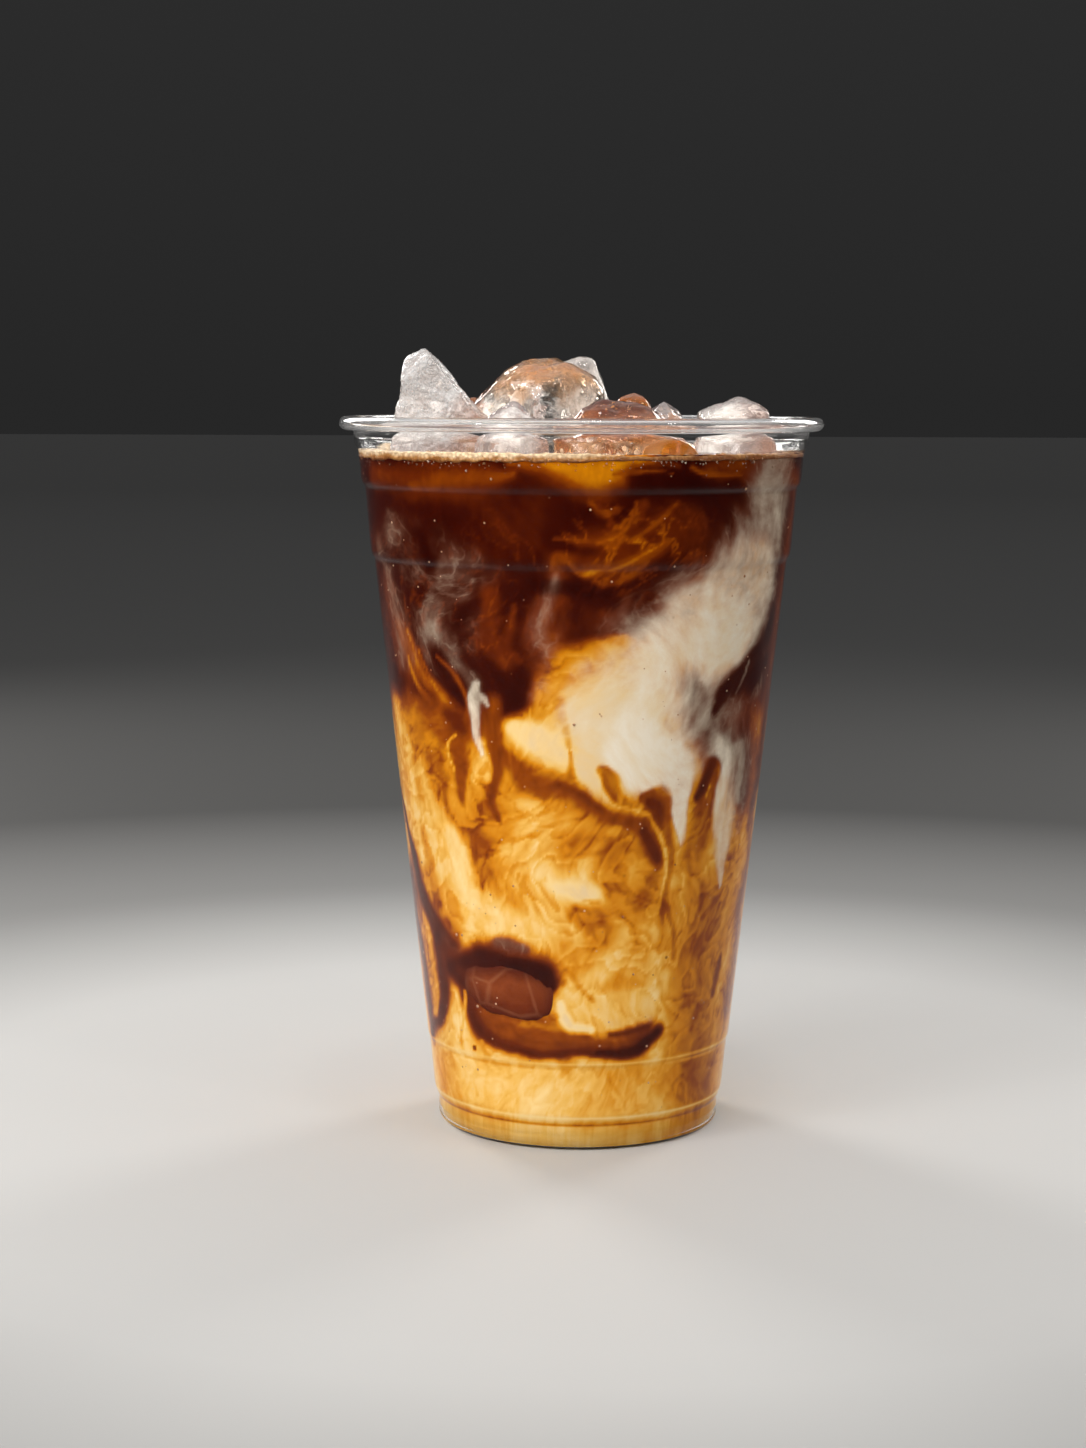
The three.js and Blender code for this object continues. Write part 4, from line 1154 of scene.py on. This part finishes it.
def make_wall_bubbles(material):
    """Tiny air bubbles that cling to the inside of the wall, scattered at random."""
    rng = np.random.default_rng(WALL_BUBBLE_SEED)
    count = WALL_BUBBLES[0]
    angle = rng.uniform(-pi, pi, count)
    height = rng.uniform(*WALL_BUBBLE_HEIGHTS, count)
    size = bubble_sizes(rng, *WALL_BUBBLES)
    middles = round_cup(angle, wall_radius(height) - DRINK_INSET, height)
    scattered_balls("wall_bubbles", middles, size, material, rows=4, columns=7)


def make_sunk_ice(material):
    """Ice sunk in the dark pocket at the lower left: a rounded block (a superellipsoid) turned to the wall
    and pressed flat where it meets the inside of the wall. Its rings stop two steps short of the top."""
    polar = pi * np.arange(1, SUNK_ROWS + 1) / (SUNK_ROWS + 2)
    ways = ring_points(np.sin(polar), -np.cos(polar), even_angles(SUNK_COLUMNS)).reshape(-1, 3)
    ways = np.vstack([ways, (0.0, 0.0, -1.0), (0.0, 0.0, 1.0)])
    reach = (np.abs(ways / SUNK_HALF) ** SUNK_SQUARENESS).sum(axis=1) ** (-1.0 / SUNK_SQUARENESS)
    block = ways * reach[:, None]
    lean = radians(SUNK_LEAN)
    across = block[:, 0] * np.cos(lean) - block[:, 2] * np.sin(lean)
    upward = block[:, 0] * np.sin(lean) + block[:, 2] * np.cos(lean)
    upward = upward + fractal(block, *SUNK_WAVES)
    angle = radians(SUNK_ANGLE) + across / MIDDLE_RADIUS
    height = SUNK_HEIGHT + upward
    inner = wall_radius(height) - SUNK_INSET
    distance = inner - np.maximum(block[:, 1] + SUNK_HALF[1] * SUNK_FLATNESS, 0.0)
    distance = distance - SUNK_DENT * (1.0 + fractal(block, *SUNK_DENTS))
    points, faces = closed_ball(round_cup(angle, distance, height), SUNK_ROWS, SUNK_COLUMNS)
    sunk_ice = new_piece("sunk_ice", points, faces, material)
    paint(sunk_ice, "shown", smooth_step(*SUNK_SHOWN, -block[:, 1] / SUNK_HALF[1]))


def principled(name):
    """A new material, its node tree and its Principled shader."""
    material = bpy.data.materials.new(name)
    material.use_nodes = True
    return material, material.node_tree, material.node_tree.nodes["Principled BSDF"]


def fill(tree, made, **inputs):
    """Gives a node's inputs their values or links. A name has _ for each space, or is _ and a number."""
    for name, value in inputs.items():
        socket = made.inputs[int(name[1:])] if name[0] == "_" else made.inputs[name.replace("_", " ")]
        if isinstance(value, bpy.types.NodeSocket):
            tree.links.new(value, socket)
        else:
            socket.default_value = value


def node(tree, kind, settings=None, **inputs):
    """A shader node of a kind, with its settings and the values or links of its inputs."""
    made = tree.nodes.new("ShaderNode" + kind)
    for name, value in (settings or {}).items():
        setattr(made, name, value)
    fill(tree, made, **inputs)
    return made


def math(tree, operation, first, second=0.0, third=0.0):
    """What a Math node makes of up to three values."""
    return node(tree, "Math", {"operation": operation}, _0=first, _1=second, _2=third).outputs[0]


def blend_colors(tree, share, first, second):
    """The first colour brought towards the second by a share."""
    return node(tree, "Mix", {"data_type": "RGBA"}, _0=share, _6=first, _7=second).outputs[2]


def ramp(tree, value, stops):
    """A colour scale from (place, colour) stops."""
    made = node(tree, "ValToRGB", Fac=value)
    scale = made.color_ramp
    while len(scale.elements) < len(stops):
        scale.elements.new(0.5)
    for element, (place, color) in zip(scale.elements, stops):
        element.position = place
        element.color = color
    return made.outputs["Color"]


def shown_ramp(tree, value, stops):
    """A colour scale from (place, colour) stops, the colours as a display shows them."""
    return ramp(tree, value, [(place, linear(*shown)) for place, shown in stops])


def attribute(tree, name, output="Fac"):
    """What is kept on a piece's vertices under a name."""
    return node(tree, "Attribute", {"attribute_name": name}).outputs[output]


def noise(tree, vector, scale, detail=3.0, roughness=0.5, output="Fac"):
    """Fractal noise around 0.5, with scale features to a unit of the vector."""
    made = node(tree, "TexNoise", Vector=vector, Scale=scale, Detail=detail, Roughness=roughness)
    return made.outputs[output]


def object_place(tree):
    """Place on a piece, in metres from the origin."""
    return node(tree, "TexCoord").outputs["Object"]


def stretched(tree, value, low, high, out_low=0.0, out_high=1.0):
    """A value's range low to high spread over out_low to out_high, held at the ends."""
    ends = {"From_Min": low, "From_Max": high, "To_Min": out_low, "To_Max": out_high}
    return node(tree, "MapRange", Value=value, **ends).outputs["Result"]


def uneven(tree, patches, low, high):
    """Noise, which is mostly from 0.3 to 0.7, spread over low to high."""
    return stretched(tree, patches, 0.3, 0.7, low, high)


def bump(tree, height, distance, strength=1.0):
    """Normal of a surface that a height of 1 lifts by the distance, in metres."""
    return node(tree, "Bump", Height=height, Distance=distance, Strength=strength).outputs["Normal"]


def let_lamps_through(tree, shader):
    """Makes glass clear for the rays that look for lamps, so that what it covers is lit."""
    clear = node(tree, "BsdfTransparent").outputs["BSDF"]
    lamp_ray = node(tree, "LightPath").outputs["Is Shadow Ray"]
    mixed = node(tree, "MixShader", Fac=lamp_ray, _1=shader.outputs["BSDF"], _2=clear)
    tree.links.new(mixed.outputs["Shader"], tree.nodes["Material Output"].inputs["Surface"])


def clear_plastic(name, ior, clearness):
    """Clear plastic, with faint flow marks in its gloss."""
    material, tree, shader = principled(name)
    marks = noise(tree, object_place(tree), 60.0, 4.0)
    fill(tree, shader, Base_Color=(1.0, 1.0, 1.0, 1.0), Roughness=uneven(tree, marks, 0.015, 0.05))
    fill(tree, shader, IOR=ior, Transmission_Weight=clearness)
    let_lamps_through(tree, shader)
    return material


def marbling():
    """Shared by the drink's side and top: the colour of the milk and cream painted on its skin, drawn into
    finer threads by noise along the flow, with dark specks in the pale parts."""
    group = bpy.data.node_groups.new("marbling", "ShaderNodeTree")
    group.interface.new_socket("Color", in_out="OUTPUT", socket_type="NodeSocketColor")
    flow = attribute(group, "flow", "Vector")
    milk, cream = attribute(group, "milk"), attribute(group, "cream")
    threads = math(group, "SUBTRACT", noise(group, flow, 0.45, 5.0, 0.58), 0.5)
    room = math(group, "MULTIPLY", milk, math(group, "SUBTRACT", 1.0, milk))
    drawn = math(group, "MULTIPLY_ADD", math(group, "MULTIPLY", room, THREAD_STRENGTH), threads, milk)
    color = shown_ramp(group, drawn, MILK_SCALE)
    cream_room = math(group, "MULTIPLY", cream, math(group, "SUBTRACT", 1.0, cream))
    wisps = math(group, "SUBTRACT", noise(group, flow, 0.4, 6.0, 0.6), 0.5)
    full_wisps = math(group, "MULTIPLY", cream, FULL_CREAM_WISP)
    wispy = math(group, "MULTIPLY_ADD", cream_room, WISP_STRENGTH, full_wisps)
    cover = math(group, "MULTIPLY_ADD", wispy, wisps, cream)
    loops = math(group, "ABSOLUTE", math(group, "SUBTRACT", noise(group, flow, 0.16, 4.0, 0.5), 0.5))
    loops = math(group, "MULTIPLY", stretched(group, loops, 0.0, 0.05, 1.0, 0.0), cream_room)
    loops = math(group, "MULTIPLY", loops, stretched(group, cream, 0.32, 0.46, 1.0, 0.12))
    cover = math(group, "MULTIPLY_ADD", loops, LOOP_STRENGTH, cover)
    veil = math(group, "POWER", math(group, "MAXIMUM", cover, 0.0), VEIL_POWER)
    color = blend_colors(group, veil, color, shown_ramp(group, cover, VEIL_SCALE))
    dots = node(group, "TexVoronoi", Vector=object_place(group), Scale=230.0)
    chosen = node(group, "SeparateColor", Color=dots.outputs["Color"]).outputs[0]
    speck = stretched(group, dots.outputs["Distance"], 0.05, 0.1, 1.0, 0.0)
    speck = math(group, "MULTIPLY", speck, math(group, "GREATER_THAN", chosen, 0.86))
    speck = math(group, "MULTIPLY", math(group, "MULTIPLY", speck, stretched(group, milk, 0.4, 0.6)), 0.7)
    color = blend_colors(group, speck, color, linear(96, 44, 12))
    group.links.new(color, group.nodes.new("NodeGroupOutput").inputs["Color"])
    return group


def marbled_coffee(name, colors, specular, roughness):
    """The drink against the wall, or its wet top: the marbling, with its own gloss."""
    material, tree, shader = principled(name)
    made = tree.nodes.new("ShaderNodeGroup")
    made.node_tree = colors
    wet = uneven(tree, noise(tree, object_place(tree), 90.0), *roughness)
    fill(tree, shader, Base_Color=made.outputs["Color"], Roughness=wet, Specular_IOR_Level=specular)
    return material


def ice_flaws():
    """Shared by every kind of ice: a mask of cloudy frost and crack lines, and the height of its surface,
    worn in broad waves with a fine grain on them."""
    group = bpy.data.node_groups.new("ice_flaws", "ShaderNodeTree")
    for name in ("Frost", "Cracks", "Grain"):
        group.interface.new_socket(name, in_out="INPUT", socket_type="NodeSocketFloat")
    for name in ("Mask", "Height"):
        group.interface.new_socket(name, in_out="OUTPUT", socket_type="NodeSocketFloat")
    start = group.nodes.new("NodeGroupInput")
    end = group.nodes.new("NodeGroupOutput")
    place = object_place(group)
    cloud = noise(group, place, 150.0, 5.0, 0.62)
    wander = noise(group, place, 300.0, output="Color")
    bent = node(group, "VectorMath", {"operation": "MULTIPLY_ADD"}, _0=wander, _1=CRACK_WANDER, _2=place)
    cells = node(group, "TexVoronoi", {"feature": "DISTANCE_TO_EDGE"}, Vector=bent.outputs[0], Scale=170.0)
    lines = stretched(group, cells.outputs["Distance"], 0.0, 0.035, 1.0, 0.0)
    lines = math(group, "MULTIPLY", math(group, "MULTIPLY", lines, start.outputs["Cracks"]), cloud)
    fine = math(group, "MULTIPLY", noise(group, place, 1300.0, 3.0, 0.6), start.outputs["Grain"])
    grainy = math(group, "MULTIPLY_ADD", math(group, "SUBTRACT", fine, 0.5), 0.5, cloud)
    grainy = math(group, "MULTIPLY_ADD", math(group, "SUBTRACT", 1.0, start.outputs["Grain"]), 0.25, grainy)
    clouded = math(group, "ADD", grainy, math(group, "SUBTRACT", start.outputs["Frost"], 0.5))
    mask = math(group, "MAXIMUM", stretched(group, clouded, 0.45, 0.65), lines)
    ripples = math(group, "MULTIPLY", noise(group, place, 480.0, 2.0), 0.75)
    worn = math(group, "ADD", math(group, "ADD", noise(group, place, 200.0, 2.0), ripples), fine)
    group.links.new(mask, end.inputs["Mask"])
    group.links.new(math(group, "MULTIPLY_ADD", lines, -0.3, worn), end.inputs["Height"])
    return group


def ice(name, flaws, clear, clouded, stained, way, stain_range, frost, cracks, grain, transmission, relief,
        roughness):
    """Ice of one look: its clear, clouded and coffee-stained colours, the way the stain grows, how much of
    it is frosted and cracked, how much light goes through, the depth of its relief and its roughness."""
    material, tree, shader = principled(name + "_ice")
    made = tree.nodes.new("ShaderNodeGroup")
    made.node_tree = flaws
    fill(tree, made, Frost=frost, Cracks=cracks, Grain=grain)
    mask = made.outputs["Mask"]
    place = object_place(tree)
    along = node(tree, "VectorMath", {"operation": "DOT_PRODUCT"}, _0=place, _1=way).outputs["Value"]
    along = math(tree, "MULTIPLY_ADD", noise(tree, place, 190.0, 4.0, 0.6), STAIN_UNEVEN * MM, along)
    stain = stretched(tree, along, *((end + STAIN_UNEVEN / 2) * MM for end in stain_range))
    color = blend_colors(tree, mask, linear(*clear), linear(*clouded))
    color = blend_colors(tree, stain, color, linear(*stained))
    gloss = stretched(tree, mask, 0.0, 1.0, *roughness)
    surface = bump(tree, made.outputs["Height"], relief * MM)
    fill(tree, shader, Base_Color=color, Roughness=gloss, Normal=surface)
    fill(tree, shader, IOR=ICE_IOR, Coat_Weight=ICE_WETNESS, Transmission_Weight=transmission)
    let_lamps_through(tree, shader)
    return material


def ice_looks():
    """A material for each look of ice, by name."""
    flaws = ice_flaws()
    return {name: ice(name, flaws, *look) for name, look in ICE_LOOKS.items()}


def crack_flake():
    """Cracks in the ice: white, or the colour of coffee where they are stained."""
    material, tree, shader = principled("crack_flake")
    patches = noise(tree, object_place(tree), 700.0)
    white = shown_ramp(tree, patches, [(0.3, (224, 210, 200)), (0.6, (255, 252, 248))])
    color = blend_colors(tree, attribute(tree, "stain"), white, linear(214, 150, 84))
    fill(tree, shader, Base_Color=color, Roughness=uneven(tree, patches, 0.2, 0.5))
    return material


def ice_cloud():
    """Clouds in the ice: white to caramel, thin, uneven and fading out at their edges."""
    material, tree, shader = principled("ice_cloud")
    patches = noise(tree, object_place(tree), 260.0, 5.0, 0.6)
    white = shown_ramp(tree, patches, [(0.35, (228, 218, 210)), (0.6, (255, 252, 248))])
    color = blend_colors(tree, attribute(tree, "stain"), white, linear(184, 132, 70))
    thin = math(tree, "MULTIPLY", stretched(tree, patches, 0.36, 0.66, 0.02, 0.8), attribute(tree, "cover"))
    fill(tree, shader, Base_Color=color, Alpha=thin, Roughness=uneven(tree, patches, 0.3, 0.6))
    return material


def froth_foam():
    """Froth: cream above and tan below, browner to the right, between fine bubbles, which show as pits."""
    material, tree, shader = principled("froth_foam")
    place = object_place(tree)
    cells = node(tree, "TexVoronoi", Vector=place, Scale=1300.0).outputs["Distance"]
    patches = noise(tree, place, 220.0, 4.0)
    parted = node(tree, "SeparateXYZ", Vector=place).outputs
    browner = stretched(tree, parted["X"], -12.0 * MM, 22.0 * MM, 0.0, 0.85 * MM)
    height = math(tree, "SUBTRACT", parted["Z"], browner)
    level = math(tree, "MULTIPLY_ADD", math(tree, "SUBTRACT", patches, 0.5), 2.4 * MM, height)
    level = stretched(tree, level, (FROTH_HEIGHT - 0.8) * MM, (FROTH_HEIGHT + 0.9) * MM)
    color = shown_ramp(tree, level, [(0.0, (128, 70, 20)), (0.4, (186, 132, 70)), (0.75, (242, 214, 172))])
    color = blend_colors(tree, stretched(tree, cells, 0.3, 0.65, 0.0, 0.45), color, linear(120, 68, 24))
    surface = bump(tree, cells, 0.25 * MM, 0.8)
    fill(tree, shader, Base_Color=color, Roughness=uneven(tree, patches, 0.25, 0.5), Normal=surface)
    return material


def froth_bubble():
    """Thin-walled bubbles: clear and a little brown, some paler than others."""
    material, tree, shader = principled("froth_bubble")
    patches = noise(tree, object_place(tree), 300.0)
    color = shown_ramp(tree, patches, [(0.35, (190, 140, 90)), (0.65, (250, 232, 205))])
    fill(tree, shader, Base_Color=color, Roughness=uneven(tree, patches, 0.03, 0.12))
    fill(tree, shader, IOR=BUBBLE_IOR, Transmission_Weight=BUBBLE_CLEARNESS)
    let_lamps_through(tree, shader)
    return material


def wall_bubble():
    """Tiny bubbles under the wall: pale brown dots, some paler than others."""
    material, tree, shader = principled("wall_bubble")
    patches = noise(tree, object_place(tree), 400.0, 2.0)
    color = shown_ramp(tree, patches, [(0.35, (150, 90, 50)), (0.7, (226, 190, 150))])
    fill(tree, shader, Base_Color=color, Roughness=uneven(tree, patches, 0.2, 0.4))
    return material


def drowned_ice():
    """Ice seen through coffee: red-brown, with painted shade that leaves it darkest low down and painted
    light above its middle, paler along its cracks, and the colour of the coffee where it leaves the wall."""
    material, tree, shader = principled("drowned_ice")
    place = object_place(tree)
    height = node(tree, "SeparateXYZ", Vector=place).outputs["Z"]
    cloud = noise(tree, place, 170.0, 5.0, 0.6)
    # painted light and shade over the height: darkest low down, lightest above the middle
    lit = stretched(tree, math(tree, "MULTIPLY_ADD", cloud, 12.0 * MM, height), 30.0 * MM, 44.0 * MM)
    color = shown_ramp(tree, lit, DROWNED_LIGHT_AND_SHADE)
    facets = node(tree, "TexVoronoi", {"feature": "DISTANCE_TO_EDGE"}, Vector=place, Scale=120.0)
    crack = stretched(tree, facets.outputs["Distance"], 0.0, 0.06, 0.45, 0.0)
    color = blend_colors(tree, math(tree, "MULTIPLY", crack, cloud), color, linear(190, 130, 90))
    color = blend_colors(tree, attribute(tree, "shown"), linear(74, 20, 9), color)
    surface = bump(tree, cloud, 0.5 * MM, 0.5)
    fill(tree, shader, Base_Color=color, Roughness=uneven(tree, cloud, 0.2, 0.45), Normal=surface)
    fill(tree, shader, Specular_IOR_Level=0.0)
    return material


def pale_floor():
    """A pale floor with a painted pool of light: palest round the cup and grading to grey away from it."""
    material, tree, shader = principled("pale_floor")
    # painted pool of light: the floor's colour darkens with distance from the cup
    away = node(tree, "VectorMath", {"operation": "LENGTH"}, _0=object_place(tree)).outputs["Value"]
    reach = FLOOR_LIGHT_POOL[-1][0]
    tints = [[paleness * part for part in FLOOR_TINT] for _, paleness in FLOOR_LIGHT_POOL]
    stops = [(distance / reach, (*tint, 1.0)) for (distance, _), tint in zip(FLOOR_LIGHT_POOL, tints)]
    color = ramp(tree, stretched(tree, away, 0.0, reach * MM), stops)
    fill(tree, shader, Base_Color=color, Roughness=0.6, Specular_IOR_Level=0.1)
    return material


def make_stage():
    """A floor, flat and square."""
    side = FLOOR_SIDE
    corners = np.array([(-side, -side, 0.0), (side, -side, 0.0), (side, side, 0.0), (-side, side, 0.0)])
    mesh = bpy.data.meshes.new("floor")
    mesh.from_pydata((corners * MM).tolist(), [], [(0, 1, 2, 3)])
    mesh.materials.append(pale_floor())
    floor = bpy.data.objects.new("floor", mesh)
    bpy.context.collection.objects.link(floor)


def softbox(name, at, size, power):
    """A rectangular lamp at a place in millimetres, turned to face the cup."""
    lamp = bpy.data.lights.new(name, "AREA")
    lamp.shape = "RECTANGLE"
    lamp.size, lamp.size_y = (edge * MM for edge in size)
    lamp.energy = power
    lamp.color = LAMP_TINT
    holder = bpy.data.objects.new(name, lamp)
    bpy.context.collection.objects.link(holder)
    holder.location = Vector(at) * MM
    holder.rotation_euler = (Vector(LAMP_AIM) - Vector(at)).to_track_quat("-Z", "Y").to_euler()


def make_lights():
    """Softboxes, and a wide overhead light in the world that fades to a dark backdrop at eye level."""
    for name, at, size, power in SOFTBOXES:
        softbox(name, at, size, power)
    world = bpy.data.worlds.new("studio")
    world.use_nodes = True
    tree = world.node_tree
    upward = node(tree, "SeparateXYZ", Vector=node(tree, "TexCoord").outputs["Generated"]).outputs["Z"]
    light = ramp(tree, upward, [(rise, (level, level, level, 1.0)) for rise, level in OVERHEAD])
    tree.links.new(light, tree.nodes["Background"].inputs["Color"])
    bpy.context.scene.world = world


def make_camera():
    """The camera of the photograph, looking down a little."""
    camera = bpy.data.cameras.new("camera")
    camera.lens = CAMERA_LENS
    camera.clip_start = 0.01
    holder = bpy.data.objects.new("camera", camera)
    bpy.context.collection.objects.link(holder)
    place = Matrix.Translation(Vector(CAMERA_AT) * MM)
    tilt = Matrix.Rotation(radians(90 - CAMERA_PITCH), 4, "X")
    holder.matrix_world = place @ tilt @ Matrix.Rotation(radians(CAMERA_ROLL), 4, "Z")
    bpy.context.scene.camera = holder


make_cup(clear_plastic("wall_plastic", WALL_IOR, 1.0), clear_plastic("rim_plastic", RIM_IOR, RIM_CLEARNESS))
swirl_colors = marbling()
make_drink((
    marbled_coffee("marbled_coffee", swirl_colors, 0.0, (0.3, 0.5)),
    marbled_coffee("coffee_top", swirl_colors, 0.5, (0.06, 0.16)),
))
looks = ice_looks()
for ice_name in ICE:
    make_ice(ice_name, looks)
make_flakes(crack_flake())
make_clouds(ice_cloud())
make_froth(froth_foam())
make_froth_bubbles(froth_bubble())
make_wall_bubbles(wall_bubble())
make_sunk_ice(drowned_ice())
make_stage()
make_lights()
make_camera()
bpy.context.scene.view_settings.view_transform = "Standard"
